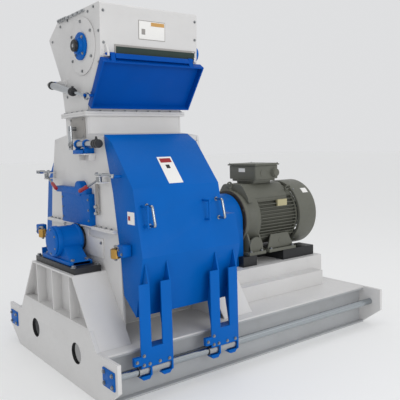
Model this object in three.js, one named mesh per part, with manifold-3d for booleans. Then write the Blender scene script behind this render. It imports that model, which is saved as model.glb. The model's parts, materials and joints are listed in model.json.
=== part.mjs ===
// A hammer mill with its roll feeder, drive motor and welded base, in millimetres.
// +X runs along the rotor from the mill to the motor, -Y is the front, +Z is up.
// The origin is on the floor, under the middle of the base.
import * as THREE from "three";
import { mergeVertices } from "three/addons/utils/BufferGeometryUtils.js";
import Module from "manifold-3d";

const wasm = await Module();
wasm.setup();

// ---- driving dimensions -----------------------------------------------------
const GAP = 0.3; // between pieces that touch
const ROUND = 16; // sides of a small round piece
const DRUM = 24; // sides of a large one
const RUNNING = 0.05; // radial play of a pin that turns in a hole

// base
const BASE_LENGTH = 2450;
const BASE_WIDTH = 1780; // over the ears of the end plates
const BASE_HEIGHT = 303; // top of the deck
const END_PLATE = 25;
const END_FOOT_HALF = 709; // half width of an end plate where it stands
const EAR_LOW = 134; // height where the chamfer of an ear ends
const DECK_PLATE = 12;
const DECK_HALF = 725; // half width of the deck
const CHANNEL_WALL = 12;
const CHANNEL_DEPTH = 40;
const LIFT_HOLE_Y = 346;
const LIFT_HOLE_Z = 222;
const LIFT_HOLE_R = 70;

// stands that carry the two rotor bearings
const STAND_TOP = 721;
const STAND_TOP_HALF = 340;
const STAND_FOOT_HALF = 635;
const STAND_PLATE = 12;
const STAND_LENGTH_FAR = 258;
const RECESS_BOTTOM = 417; // lower edge of the recessed panel on the near end
const RECESS_DEPTH = 70;
const RIB_PITCH = 275;

// guide rails beside the base
const RAIL_Y = 790;
const RAIL_Z = 190;
const RAIL_R = 25;

// grinding chamber
const MILL_SETBACK = 241; // from the near end of the base
const MILL_LENGTH = 750;
const MILL_WALL = 15;
const AXIS_Z = 900; // height of the rotor and of the motor
const SPLIT_Z = 995; // joint between the lower and the upper casing
const SPLIT_FLANGE = 35;
const SPLIT_PLATE = 10;
const CASING_LOW = [548, 820]; // corners of a side plate: half width, height
const CASING_MID = [480, 1240];
const CASING_TOP = [386, 1590];
const NECK_HALF = 171;
const NECK_FOOT = 1618;
const NECK_TOP = 1750;
const NECK_WALL = 8;
const FLANGE_PLATE = 15;
const FLANGE_LIP = 24;
const SHAFT_SLOT_R = 62;

// rotor
const SHAFT_R = 45;
const ROTOR_DISC_R = 265;
const ROTOR_DISC = 20;
const ROTOR_DISCS = 4;
const ROTOR_END_GAP = 25;
const ROTOR_HUB_R = 75;
const PIN_CIRCLE_R = 215;
const PIN_R = 14;
const PIN_SIDES = 10;
const HAMMER_ROWS = 4;
const HAMMER_REACH = 112; // from the pin to the tip
const HAMMER_WIDTH = 50;
const HAMMER_PLATE = 12;
const HAMMERS_PER_BAY = 2;
const SCREEN_R = 350;
const SCREEN_SHEET = 4;

// rotor bearings
const BEARING_R = 104;
const BEARING_LENGTH = 190;
const BEARING_STANDOFF = 26; // from the side plate to the housing
const BEARING_BASE = 40;
const BEARING_BASE_HALF = 325;
const BEARING_FOOT_HALF = 240;
const BEARING_CAP = 16;

// inlet flap and its cylinder
const FLAP_SHAFT_R = 12;
const FLAP_Z = 1655;
const FLAP_LENGTH = 118;
const FLAP_ARM = 106;
const FLAP_PIN_R = 8;
const FLAP_SLOT_PLAY = 4;
const ACTUATOR_OFFSET = 50; // from the side plate to the line of the small levers

// feeder
const FEED_ROLL_Y = -152;
const FEED_ROLL_Z = 2187;
const FEED_ROLL_R = 96;
const FEED_SHAFT_R = 20;
const FEED_COVER_R = 182;
const FEED_PORT_R = 150;
const FEED_TOP = 2425;
const FEED_WALL = 8;
const PANE_START = 108; // of the window strip, from the near end of the feeder
const PANE_END = 24; // from its far end

// feeder pan and its cylinder
const PAN_TOP = [-402, 2092];
const PAN_FOOT = [-196, 1806];
const PAN_DEPTH = 50;
const PAN_RIM = 10;
const PAN_FLOOR = 6;
const PAN_OVERHANG = 26;
const PAN_HINGE = [-420, 2106];
const PAN_HINGE_R = 7;
const PAN_PIN = [-275, 1860];
const PAN_PIN_R = 9;
const PAN_EYE_PLAY = 9;
const PAN_OPEN = 34; // degrees
const PAN_CYLINDER_PIVOT = [301, 1981];
const PAN_CYLINDER_R = 30;
const PAN_CYLINDER_PIN_R = 10;
const PAN_CYLINDER_LENGTH = 380;

// access doors
const DOOR_GAP = 4; // between a door and the casing
const DOOR_SHEET = 8;
const DOOR_TOP = [-400, 1604];
const DOOR_BROW = [-497, 1550];
const DOOR_FOLD = [-730, 1274];
const DOOR_BELLY = [-814, 866];
const DOOR_FOOT = [-712, 490];
const DOOR_LEDGE = 1064; // above this height the door is shorter
const DOOR_NOTCH = 105; // by how much it is shorter
const REAR_DOOR_SETBACK = 75;
const LEG_FRONT = -836;
const LEG_REAR = -745;
const LEG_FOOT = 150;
const LEG_PLATE = 10;
const LEG_WIDTH = 225;
const LEG_STRAP = 73;
const LEG_TOP = 720;
const LEG_OVERHANG = 47; // of the first leg, past the near edge of the door
const LEG_STEP = 527; // between the two legs
const LEG_WINDOW_FOOT = 335;
const RAIL_PLAY = 2;
const BUSH_WALL = 8;

// latches
const LATCH_PIVOT = [-425, 1325];
const LATCH_PIN_R = 7;
const LATCH_EAR = 25; // from the middle of the bracket to the outside of an ear
const LATCH_REACH = 240;
const LATCH_DROP = 85;
const LATCH_STANDOFF = 7; // degrees by which the grip leaves the side plate
const LATCH_CRANK = 34;
const LATCH_LUG = [-585, 1345];

// motor
const MOTOR_SETBACK = 1571; // drive end, from the near end of the base
const MOTOR_LENGTH = 785;
const MOTOR_RIM_R = 234;
const MOTOR_BODY_R = 262;
const MOTOR_COWL_R = 287;
const MOTOR_COWL_LENGTH = 217;
const MOTOR_SHAFT_R = 38;
const MOTOR_FEET_Z = 616;
const MOTOR_FOOT_HALF = 275;
const MOTOR_FINS = 8; // on each side
const MOTOR_CROWN = 284; // top of the cast saddle over the axis
const TERMINAL_START = 165; // from the drive end
const TERMINAL_LENGTH = 264;
const TERMINAL_HALF = 169;
const TERMINAL_TOP = 452; // over the axis
const BED_TOP = 533;
const BED_HALF = 330;
const BED_STEP = 110; // the lower part of the bed is wider by this
const BED_STEP_Z = 425;
const COUPLING_R = 100;
const GUARD_R = 212;
const GUARD_SHEET = 6;
const GUARD_STANDOFF = 20; // from the motor

// ---- derived places ---------------------------------------------------------
const NEAR_X = -BASE_LENGTH / 2;
const FAR_X = BASE_LENGTH / 2;
const MILL_X0 = NEAR_X + MILL_SETBACK;
const MILL_X1 = MILL_X0 + MILL_LENGTH;
const CHAMBER_X0 = MILL_X0 + MILL_WALL;
const CHAMBER_X1 = MILL_X1 - MILL_WALL;
const MOTOR_X = NEAR_X + MOTOR_SETBACK;
const MOTOR_END = MOTOR_X + MOTOR_LENGTH;
const LEVER_X = MILL_X0 - ACTUATOR_OFFSET;
const LATCH_X = MILL_X0 - 62;
const DOOR_X0 = MILL_X0 - 2;

// ---- building blocks --------------------------------------------------------
function solidOf(geometry) {
  const bare = geometry.clone();
  bare.deleteAttribute("normal");
  bare.deleteAttribute("uv");
  const merged = mergeVertices(bare, 1e-4);
  return new wasm.Manifold(
    new wasm.Mesh({
      numProp: 3,
      vertProperties: merged.attributes.position.array,
      triVerts: new Uint32Array(merged.index.array),
    }),
  );
}

function box(x, y, z) {
  const geometry = new THREE.BoxGeometry(x[1] - x[0], y[1] - y[0], z[1] - z[0]);
  geometry.translate((x[0] + x[1]) / 2, (y[0] + y[1]) / 2, (z[0] + z[1]) / 2);
  return solidOf(geometry);
}

function extruded(points, depth) {
  const shape = new THREE.Shape(points.map(([a, b]) => new THREE.Vector2(a, b)));
  return new THREE.ExtrudeGeometry(shape, { depth, bevelEnabled: false, curveSegments: 6 });
}

// An outline of (y, z) points, extruded along X.
function slabX(points, x0, x1) {
  const geometry = extruded(points, x1 - x0);
  const turn = new THREE.Matrix4().makeBasis(
    new THREE.Vector3(0, 1, 0),
    new THREE.Vector3(0, 0, 1),
    new THREE.Vector3(1, 0, 0),
  );
  geometry.applyMatrix4(turn);
  geometry.translate(x0, 0, 0);
  return solidOf(geometry);
}

// An outline of (x, z) points, extruded along Y.
function slabY(points, y0, y1) {
  const geometry = extruded(points, y1 - y0);
  geometry.rotateX(Math.PI / 2);
  geometry.translate(0, y1, 0);
  return solidOf(geometry);
}

function rodX(y, z, r, x0, x1, sides = ROUND) {
  const geometry = new THREE.CylinderGeometry(r, r, x1 - x0, sides);
  geometry.rotateZ(-Math.PI / 2);
  geometry.translate((x0 + x1) / 2, y, z);
  return solidOf(geometry);
}

function rodY(x, z, r, y0, y1, sides = ROUND) {
  const geometry = new THREE.CylinderGeometry(r, r, y1 - y0, sides);
  geometry.translate(x, (y0 + y1) / 2, z);
  return solidOf(geometry);
}

function rodZ(x, y, r, z0, z1, sides = ROUND) {
  const geometry = new THREE.CylinderGeometry(r, r, z1 - z0, sides);
  geometry.rotateX(Math.PI / 2);
  geometry.translate(x, y, (z0 + z1) / 2);
  return solidOf(geometry);
}

// Radius of a hole of n sides in which a pin of radius r turns.
function runningHole(r, n) {
  return (r + RUNNING) / Math.cos(Math.PI / n);
}

function joined(...solids) {
  return solids.reduce((all, one) => all.add(one));
}

function cut(solid, ...tools) {
  return tools.reduce((rest, tool) => rest.subtract(tool), solid);
}

// The outline moved inwards by d along every side; its points run anticlockwise.
function inset(points, d) {
  const sides = points.map((p, i) => {
    const q = points[(i + 1) % points.length];
    const length = Math.hypot(q[0] - p[0], q[1] - p[1]);
    const along = [(q[0] - p[0]) / length, (q[1] - p[1]) / length];
    return { along, through: [p[0] - along[1] * d, p[1] + along[0] * d] };
  });
  return points.map((_, i) => {
    const a = sides[(i + points.length - 1) % points.length];
    const b = sides[i];
    const cross = a.along[0] * b.along[1] - a.along[1] * b.along[0];
    const gap = [b.through[0] - a.through[0], b.through[1] - a.through[1]];
    const t = (gap[0] * b.along[1] - gap[1] * b.along[0]) / cross;
    return [a.through[0] + a.along[0] * t, a.through[1] + a.along[1] * t];
  });
}

// A right half outline closed by its mirror image, anticlockwise.
function mirrored(half) {
  return [...half, ...half.map(([y, z]) => [-y, z]).reverse()];
}

function arcPoints(cy, cz, r, from, to, steps) {
  return Array.from({ length: steps + 1 }, (_, i) => {
    const a = from + ((to - from) * i) / steps;
    return [cy + r * Math.cos(a), cz + r * Math.sin(a)];
  });
}

const PAINT = {
  white: [0xd4d4d6, 0.42, 0.1],
  blue: [0x1264b4, 0.38, 0.15],
  black: [0x17181a, 0.55, 0.1],
  grey: [0x8f8c88, 0.5, 0.3],
  motor: [0x6a6b64, 0.55, 0.2],
  steel: [0xa9adb0, 0.32, 0.9],
  rail: [0xc7ccce, 0.18, 1],
  red: [0x8c1420, 0.4, 0],
  glass: [0x1f4a3c, 0.2, 0],
};

function mesh(name, solid, paint) {
  const { vertProperties, triVerts, numProp } = solid.getMesh();
  const geometry = new THREE.BufferGeometry();
  const places = new Float32Array((vertProperties.length / numProp) * 3);
  for (let i = 0; i < places.length / 3; i++) {
    places.set(vertProperties.subarray(i * numProp, i * numProp + 3), i * 3);
  }
  geometry.setAttribute("position", new THREE.BufferAttribute(places, 3));
  geometry.setIndex(new THREE.BufferAttribute(triVerts, 1));
  const [color, roughness, metalness] = PAINT[paint];
  const material = new THREE.MeshStandardMaterial({ color, roughness, metalness });
  const made = new THREE.Mesh(geometry, material);
  made.name = name;
  return made;
}

// ---- base -------------------------------------------------------------------
function standHalfWidth(z) {
  const share = (z - BASE_HEIGHT) / (STAND_TOP - BASE_HEIGHT);
  return STAND_FOOT_HALF + (STAND_TOP_HALF - STAND_FOOT_HALF) * share;
}

function liftHoles(x0, x1) {
  return [-1, 1].map((s) => rodX(s * LIFT_HOLE_Y, LIFT_HOLE_Z, LIFT_HOLE_R, x0, x1));
}

function endPlate(x0, x1, top) {
  const half = [
    [END_FOOT_HALF, 0],
    [BASE_WIDTH / 2, EAR_LOW],
    [BASE_WIDTH / 2, BASE_HEIGHT],
  ];
  if (top > BASE_HEIGHT) {
    half.push([STAND_FOOT_HALF, BASE_HEIGHT], [standHalfWidth(top), top]);
  }
  return cut(slabX(mirrored(half), x0, x1), ...liftHoles(x0 - 1, x1 + 1));
}

function sideChannel(side) {
  const top = BASE_HEIGHT - DECK_PLATE - GAP;
  const outer = DECK_HALF;
  const inner = DECK_HALF - CHANNEL_DEPTH - CHANNEL_WALL;
  const x = [NEAR_X + END_PLATE + GAP, FAR_X - END_PLATE - GAP];
  const web = box(x, sorted(side * inner, side * (inner + CHANNEL_WALL)), [0, top]);
  const flanges = [0, top - CHANNEL_WALL].map((z) =>
    box(x, sorted(side * inner, side * outer), [z, z + CHANNEL_WALL]),
  );
  return joined(web, ...flanges);
}

function sorted(a, b) {
  return a < b ? [a, b] : [b, a];
}

function baseDeck() {
  const x = [NEAR_X + END_PLATE + GAP, FAR_X - END_PLATE - GAP];
  const plate = box(x, [-DECK_HALF, DECK_HALF], [BASE_HEIGHT - DECK_PLATE, BASE_HEIGHT]);
  const outlet = box([CHAMBER_X0, CHAMBER_X1], [-OUTLET_HALF, OUTLET_HALF], [0, BASE_HEIGHT + 1]);
  return cut(plate, outlet);
}

const OUTLET_HALF = 250;

// Two sloping side panels under a bearing platform, open at the ends.
function standShell(x0, x1) {
  const foot = BASE_HEIGHT + GAP;
  const outline = (inside, top) =>
    mirrored([
      [standHalfWidth(foot) - inside, foot - (inside ? 1 : 0)],
      [standHalfWidth(top) - inside, top],
    ]);
  const outer = slabX(outline(0, STAND_TOP), x0, x1);
  const inner = slabX(outline(STAND_PLATE * 1.22, STAND_TOP - STAND_PLATE), x0 - 1, x1 + 1);
  return cut(outer, inner);
}

function bearingStandNear() {
  const x1 = MILL_X0 - GAP;
  const shell = cut(
    standShell(NEAR_X, x1),
    box([NEAR_X - 1, NEAR_X + END_PLATE + GAP], [-BASE_WIDTH, BASE_WIDTH], [0, RECESS_BOTTOM + GAP]),
  );
  const foot = RECESS_BOTTOM + GAP;
  const panelX = NEAR_X + RECESS_DEPTH;
  const panelOutline = mirrored([
    [standHalfWidth(foot) - 2, foot],
    [standHalfWidth(STAND_TOP - 2) - 2, STAND_TOP - 2],
  ]);
  const panel = slabX(panelOutline, panelX, panelX + STAND_PLATE);
  const sill = slabX(
    mirrored([
      [standHalfWidth(foot) - 2, foot],
      [standHalfWidth(foot + STAND_PLATE) - 2, foot + STAND_PLATE],
    ]),
    NEAR_X,
    panelX + 1,
  );
  const ribs = [-RIB_PITCH, 0, RIB_PITCH].map((y) =>
    box([NEAR_X + 4, panelX + 1], [y - 6, y + 6], [foot, STAND_TOP - 2]),
  );
  return joined(shell, panel, sill, ...ribs);
}

function bearingStandFar() {
  const x1 = MILL_X1 + GAP + STAND_LENGTH_FAR;
  const shell = standShell(MILL_X1 + GAP, x1);
  const foot = BASE_HEIGHT + GAP;
  const end = slabX(
    mirrored([
      [standHalfWidth(foot) - 2, foot],
      [standHalfWidth(STAND_TOP - 2) - 2, STAND_TOP - 2],
    ]),
    x1 - STAND_PLATE,
    x1,
  );
  return joined(shell, end);
}

function motorBed() {
  const x = [MILL_X1 + STAND_LENGTH_FAR + 2 * GAP, MOTOR_END];
  const z = [BASE_HEIGHT + GAP, BED_TOP];
  const shell = box(x, [-BED_HALF, BED_HALF], z);
  const step = box([x[0], x[1] - BED_STEP], [-BED_HALF - BED_STEP, BED_HALF + BED_STEP], [z[0], BED_STEP_Z]);
  const hollow = (half, top) => box([x[0] + 10, x[1] - 10], [-half + 10, half - 10], [z[0] - 1, top - 12]);
  const low = box(
    [x[0] + 10, x[1] - BED_STEP - 10],
    [-BED_HALF - BED_STEP + 10, BED_HALF + BED_STEP - 10],
    [z[0] - 1, BED_STEP_Z - 12],
  );
  return cut(joined(shell, step), hollow(BED_HALF, z[1]), low);
}

function guideRail(y) {
  return rodX(y, RAIL_Z, RAIL_R, NEAR_X + END_PLATE + GAP, FAR_X - END_PLATE - GAP);
}

// ---- casing -----------------------------------------------------------------
function casingHalfWidth(z) {
  const [low, mid, top] = [CASING_LOW, CASING_MID, CASING_TOP];
  const [a, b] = z < mid[1] ? [low, mid] : [mid, top];
  return z < low[1] ? low[0] : a[0] + ((b[0] - a[0]) * (z - a[1])) / (b[1] - a[1]);
}

function splitFlange(x0, x1, z) {
  return box([x0, x1], [-casingHalfWidth(z), casingHalfWidth(z)].map(Math.round), [z, z + SPLIT_PLATE]);
}

const UPPER_OUTLINE = [
  [casingHalfWidth(SPLIT_Z), SPLIT_Z],
  CASING_MID,
  CASING_TOP,
  [NECK_HALF, NECK_FOOT],
  [NECK_HALF, NECK_TOP - FLANGE_PLATE - GAP],
];

const LOWER_OUTLINE = [
  [CASING_LOW[0], BASE_HEIGHT + GAP],
  CASING_LOW,
  [casingHalfWidth(SPLIT_Z), SPLIT_Z - GAP],
];

function flapShaftHole(x0, x1) {
  return rodX(0, FLAP_Z, FLAP_SHAFT_R + 1, x0, x1);
}

function casingUpperNear() {
  const plate = slabX(mirrored(UPPER_OUTLINE), MILL_X0, CHAMBER_X0);
  const strip = splitFlange(MILL_X0 - SPLIT_FLANGE, MILL_X0 + 1, SPLIT_Z);
  const bearingRoom = rodX(0, AXIS_Z, BEARING_R + 8, MILL_X0 - SPLIT_FLANGE - 1, MILL_X0 - GAP, DRUM);
  return cut(
    joined(plate, cut(strip, bearingRoom), ...latchBrackets(), rearPost(SPLIT_Z, CASING_TOP[1] - 40)),
    flapShaftHole(MILL_X0 - 1, CHAMBER_X0 + 1),
  );
}

// Two ears and an upright pin for each latch.
function latchBrackets() {
  const [py, pz] = LATCH_PIVOT;
  return [-1, 1].flatMap((s) => {
    const y = sorted(s * (py - 20), s * (py + 20));
    const ears = [pz - LATCH_EAR, pz + LATCH_EAR - 8].map((z) =>
      box([LATCH_X - 16, MILL_X0 + 1], y, [z, z + 8]),
    );
    return [...ears, rodZ(LATCH_X, s * py, LATCH_PIN_R, pz - LATCH_EAR + 1, pz + LATCH_EAR - 1)];
  });
}

// A strip along the edge of the casing that closes the chamber beside a shorter door.
function edgeStrip(side, z0, z1, x0, x1) {
  const edge = [z0, ...[CASING_LOW, CASING_MID].map((c) => c[1]).filter((z) => z > z0 && z < z1), z1];
  const outer = edge.map((z) => [side * casingHalfWidth(z), z]);
  const inner = edge.map((z) => [side * (casingHalfWidth(z) - 10), z]).reverse();
  return slabX(orient([...outer, ...inner]), x0, x1);
}

function rearPost(z0, z1) {
  return edgeStrip(1, z0, z1, CHAMBER_X0 - 1, MILL_X0 + REAR_DOOR_SETBACK - 6);
}

function shaftSlot(x0, x1) {
  const slot = box([x0, x1], [-SHAFT_SLOT_R, SHAFT_SLOT_R], [AXIS_Z, SPLIT_Z + 1]);
  return joined(slot, rodX(0, AXIS_Z, SHAFT_SLOT_R, x0, x1));
}

function casingLowerNear() {
  const plate = slabX(mirrored(LOWER_OUTLINE), MILL_X0, CHAMBER_X0);
  const z = SPLIT_Z - GAP - SPLIT_PLATE;
  const strips = [-1, 1].map((s) =>
    box(
      [MILL_X0 - SPLIT_FLANGE, MILL_X0 + 1],
      sorted(s * (SHAFT_SLOT_R + 160), s * Math.round(casingHalfWidth(z))),
      [z, z + SPLIT_PLATE],
    ),
  );
  const post = rearPost(620, SPLIT_Z - GAP);
  return cut(joined(plate, ...strips, post), shaftSlot(MILL_X0 - 1, CHAMBER_X0 + 1));
}

function casingFar() {
  const outline = mirrored([[CASING_LOW[0], BASE_HEIGHT + GAP], CASING_LOW, ...UPPER_OUTLINE.slice(1)]);
  const plate = slabX(outline, CHAMBER_X1, MILL_X1);
  const strip = splitFlange(MILL_X1 - 1, MILL_X1 + SPLIT_FLANGE, SPLIT_Z);
  const bearingRoom = rodX(0, AXIS_Z, BEARING_R + 8, MILL_X1 + GAP, MILL_X1 + SPLIT_FLANGE + 1, DRUM);
  const endStrips = [-1, 1].map((s) =>
    edgeStrip(s, DOOR_LEDGE - 30, CASING_TOP[1] - 40, MILL_X1 - DOOR_NOTCH - 12, CHAMBER_X1 + 1),
  );
  return cut(
    joined(plate, cut(strip, bearingRoom), ...endStrips),
    rodX(0, AXIS_Z, SHAFT_SLOT_R, CHAMBER_X1 - 1, MILL_X1 + 1),
    flapShaftHole(CHAMBER_X1 - 1, MILL_X1 + 1),
  );
}

function inletNeck() {
  const x = [CHAMBER_X0 + GAP, CHAMBER_X1 - GAP];
  const [topY, topZ] = CASING_TOP;
  const wall = (s) =>
    slabX(
      orient(
        [
          [NECK_HALF - NECK_WALL, NECK_TOP - 1],
          [NECK_HALF, NECK_TOP - 1],
          [NECK_HALF, NECK_FOOT],
          [topY, topZ],
          [topY + 6, topZ - 36],
          [topY - 2, topZ - 38],
          [topY - 8, topZ - 8],
          [NECK_HALF - NECK_WALL, NECK_FOOT - NECK_WALL],
        ].map(([y, z]) => [s * y, z]),
      ),
      ...x,
    );
  const z = [NECK_TOP - FLANGE_PLATE, NECK_TOP];
  const lip = NECK_HALF + FLANGE_LIP;
  const flange = box([MILL_X0 - FLANGE_LIP, MILL_X1 + FLANGE_LIP], [-lip, lip], z);
  const inner = NECK_HALF - NECK_WALL;
  const mouth = box(x, [-inner, inner], [z[0] - 1, z[1] + 1]);
  return joined(cut(flange, mouth), wall(-1), wall(1));
}

// The same outline, anticlockwise.
function orient(points) {
  return THREE.ShapeUtils.area(points.map(([x, y]) => ({ x, y }))) < 0 ? [...points].reverse() : points;
}

function dischargeHopper() {
  const x = [CHAMBER_X0 + GAP, CHAMBER_X1 - GAP];
  const top = [CASING_LOW[0] - 12, 700];
  const foot = [OUTLET_HALF, BASE_HEIGHT + GAP];
  const sheet = 8;
  const outer = mirrored([foot, top]);
  const inner = mirrored([
    [foot[0] - sheet, foot[1] - 1],
    [top[0] - sheet - 1, top[1] + 1],
  ]);
  const hollow = slabX(inner, x[0] + sheet, x[1] - sheet);
  const shaftRoom = rodX(0, AXIS_Z, ROTOR_DISC_R + 40, x[0] - 1, x[1] + 1);
  return cut(slabX(outer, ...x), hollow, shaftRoom);
}

function windowCover() {
  const x1 = MILL_X0 - GAP;
  const low = SPLIT_Z + SPLIT_PLATE + GAP;
  const body = box([x1 - 40, x1], [-222, 222], [low, 1218]);
  const cap = box([x1 - 46, x1], [-190, 300], [1215, 1256]);
  const tab = rodX(-70, 1250, 52, x1 - 46, x1, DRUM);
  return joined(body, cap, tab);
}

function shaftCover() {
  const x1 = MILL_X0 - GAP;
  const z = [798, SPLIT_Z - SPLIT_PLATE - 2 * GAP];
  const plate = box([x1 - 8, x1], [-325, 325], [z[0], 928]);
  const tongue = box([x1 - 8, x1], [-120, 120], [900, z[1]]);
  return cut(joined(plate, tongue), rodX(0, AXIS_Z, SHAFT_R + 6, x1 - 10, x1 + 1));
}

function neckCover() {
  const x1 = MILL_X0 - GAP;
  const plate = box([x1 - 10, x1], [-137, 77], [1590, 1726]);
  return cut(plate, rodX(0, FLAP_Z, FLAP_SHAFT_R + 1, x1 - 11, x1 + 1));
}

// ---- rotor bearings ---------------------------------------------------------
function bearingBase(x0, x1) {
  return box([x0, x1], [-BEARING_BASE_HALF, BEARING_BASE_HALF], [STAND_TOP + GAP, STAND_TOP + BEARING_BASE]);
}

function bearingHousing(x0, x1) {
  const foot = STAND_TOP + BEARING_BASE + GAP;
  const drum = rodX(0, AXIS_Z, BEARING_R, x0, x1, DRUM);
  const saddle = slabX(
    mirrored([
      [BEARING_FOOT_HALF, foot],
      [BEARING_FOOT_HALF, foot + 24],
      [BEARING_R - 4, AXIS_Z - 40],
    ]),
    x0 + 12,
    x1 - 12,
  );
  return cut(joined(drum, saddle), rodX(0, AXIS_Z, runningHole(SHAFT_R, ROUND), x0 - 1, x1 + 1));
}

function bearingCap(x1) {
  const disc = rodX(0, AXIS_Z, BEARING_R - 8, x1 - BEARING_CAP, x1 - GAP, DRUM);
  return disc;
}

function shaftSeal(x0, x1) {
  return cut(rodX(0, AXIS_Z, 84, x0, x1), rodX(0, AXIS_Z, SHAFT_R + 3, x0 - 1, x1 + 1));
}

// ---- rotor ------------------------------------------------------------------
const ROTOR_X0 = CHAMBER_X0 + ROTOR_END_GAP;
const ROTOR_X1 = CHAMBER_X1 - ROTOR_END_GAP;
const COUPLING_X = (MILL_X1 + MOTOR_X) / 2 + 60; // middle of the coupling
const HALF_LENGTH = 85;

// Everything on the rotor is drawn about its own axis, at height zero.
function rotorShaft() {
  const x0 = NEAR_X + 30 + BEARING_CAP;
  const x1 = COUPLING_X - 6;
  return joined(
    rodX(0, 0, SHAFT_R, x0, x1),
    rodX(0, 0, SHAFT_R + 6, ROTOR_X0 - 20, ROTOR_X0 - GAP),
  );
}

function pinPlace(row) {
  const a = Math.PI / 4 + (row * 2 * Math.PI) / HAMMER_ROWS;
  return [PIN_CIRCLE_R * Math.cos(a), PIN_CIRCLE_R * Math.sin(a)];
}

function discX(i) {
  return ROTOR_X0 + ((ROTOR_X1 - ROTOR_X0 - ROTOR_DISC) * i) / (ROTOR_DISCS - 1);
}

function rotorDiscs() {
  const discs = Array.from({ length: ROTOR_DISCS }, (_, i) =>
    rodX(0, 0, ROTOR_DISC_R, discX(i), discX(i) + ROTOR_DISC, DRUM),
  );
  const hub = rodX(0, 0, ROTOR_HUB_R, ROTOR_X0, ROTOR_X1);
  const pins = Array.from({ length: HAMMER_ROWS }, (_, row) =>
    rodX(...pinPlace(row), runningHole(PIN_R, PIN_SIDES), ROTOR_X0 - 1, ROTOR_X1 + 1, PIN_SIDES),
  );
  return cut(joined(hub, ...discs), ...pins, rodX(0, 0, SHAFT_R + GAP, ROTOR_X0 - 1, ROTOR_X1 + 1));
}

function hammerOutline() {
  return [
    [-HAMMER_WIDTH / 2, -30],
    [HAMMER_WIDTH / 2, -30],
    [HAMMER_WIDTH / 2, HAMMER_REACH],
    [-HAMMER_WIDTH / 2, HAMMER_REACH],
  ];
}

// A pin with its hammers, drawn about the pin with the hammers pointing along +Z.
function hammerRow(row) {
  const pin = rodX(0, 0, PIN_R, ROTOR_X0 - 6, ROTOR_X1 + 6, PIN_SIDES);
  const hammers = [];
  for (let bay = 0; bay < ROTOR_DISCS - 1; bay++) {
    const from = discX(bay) + ROTOR_DISC;
    const pitch = (discX(bay + 1) - from) / HAMMERS_PER_BAY;
    for (let k = 0; k < HAMMERS_PER_BAY; k++) {
      const x = from + pitch * (k + 0.3 + 0.4 * (row % 2));
      hammers.push(slabX(hammerOutline(), x - HAMMER_PLATE / 2, x + HAMMER_PLATE / 2));
    }
  }
  return joined(pin, ...hammers);
}

function couplingHalf(x0, x1, bore) {
  const hub = rodX(0, 0, COUPLING_R * 0.72, x0, x1);
  const middle = x0 < COUPLING_X && x1 < COUPLING_X ? [x1 - 34, x1] : [x0, x0 + 34];
  const flange = rodX(0, 0, COUPLING_R, ...middle);
  return cut(joined(hub, flange), rodX(0, 0, bore + GAP, x0 - 1, x1 + 1));
}

function motorRotor() {
  const fanX = MOTOR_END - MOTOR_COWL_LENGTH + 60;
  const shaft = rodX(0, 0, MOTOR_SHAFT_R, COUPLING_X + 6, fanX + 60);
  const core = rodX(0, 0, 150, MOTOR_X + 120, fanX - 130);
  const fan = rodX(0, 0, 205, fanX, fanX + 8);
  const blades = Array.from({ length: 6 }, (_, i) => {
    const blade = box([fanX + 4, fanX + 60], [-4, 4], [40, 200]);
    return blade.rotate([i * 60, 0, 0]);
  });
  return joined(shaft, core, fan, ...blades);
}

// ---- screens ----------------------------------------------------------------
function screen(side) {
  const from = side < 0 ? Math.PI - 0.55 : -Math.PI / 2 + 0.05;
  const to = side < 0 ? (3 * Math.PI) / 2 - 0.05 : 0.55;
  const outer = arcPoints(0, AXIS_Z, SCREEN_R + SCREEN_SHEET, from, to, 12);
  const inner = arcPoints(0, AXIS_Z, SCREEN_R, from, to, 12).reverse();
  return slabX([...outer, ...inner], CHAMBER_X0 + 10, CHAMBER_X1 - 10);
}

// ---- inlet flap -------------------------------------------------------------
function directionFlap() {
  const shaft = rodX(0, 0, FLAP_SHAFT_R, LEVER_X - 12, MILL_X1 + 20);
  const blade = box([CHAMBER_X0 + 8, CHAMBER_X1 - 8], [-4, 4], [-FLAP_LENGTH, 0]);
  const arm = box([LEVER_X - 6, LEVER_X + 6], [-22, 22], [-FLAP_ARM - 36, 20]);
  const halfSlot = FLAP_PIN_R + FLAP_SLOT_PLAY;
  const slot = box([LEVER_X - 7, LEVER_X + 7], [-halfSlot, halfSlot], [-FLAP_ARM - 24, -FLAP_ARM + 14]);
  return cut(joined(shaft, blade, arm), slot);
}

const FLAP_LINE_Z = FLAP_Z - FLAP_ARM;
const FLAP_TUBE = [-423, -101];

function flapCylinder() {
  const [y0, y1] = FLAP_TUBE;
  const tube = rodY(LEVER_X, FLAP_LINE_Z, 25, y0 + 130, y1);
  const head = rodY(LEVER_X, FLAP_LINE_Z, 33, y0, y0 + 131);
  const nub = rodZ(LEVER_X, y0 + 70, 12, FLAP_LINE_Z, FLAP_LINE_Z + 56, 8);
  const x = [LEVER_X - 20, MILL_X0 - GAP];
  const shelf = box(x, [-265, -108], [FLAP_LINE_Z - 66, FLAP_LINE_Z - 58]);
  const wings = [
    [-250, -234],
    [-124, -108],
  ].map((y) => box(x, y, [FLAP_LINE_Z - 62, FLAP_LINE_Z + 12]));
  const bore = rodY(LEVER_X, FLAP_LINE_Z, 11, y0 + 140, y1 + 1, 10);
  return cut(joined(tube, head, nub, shelf, ...wings), bore);
}

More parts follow.
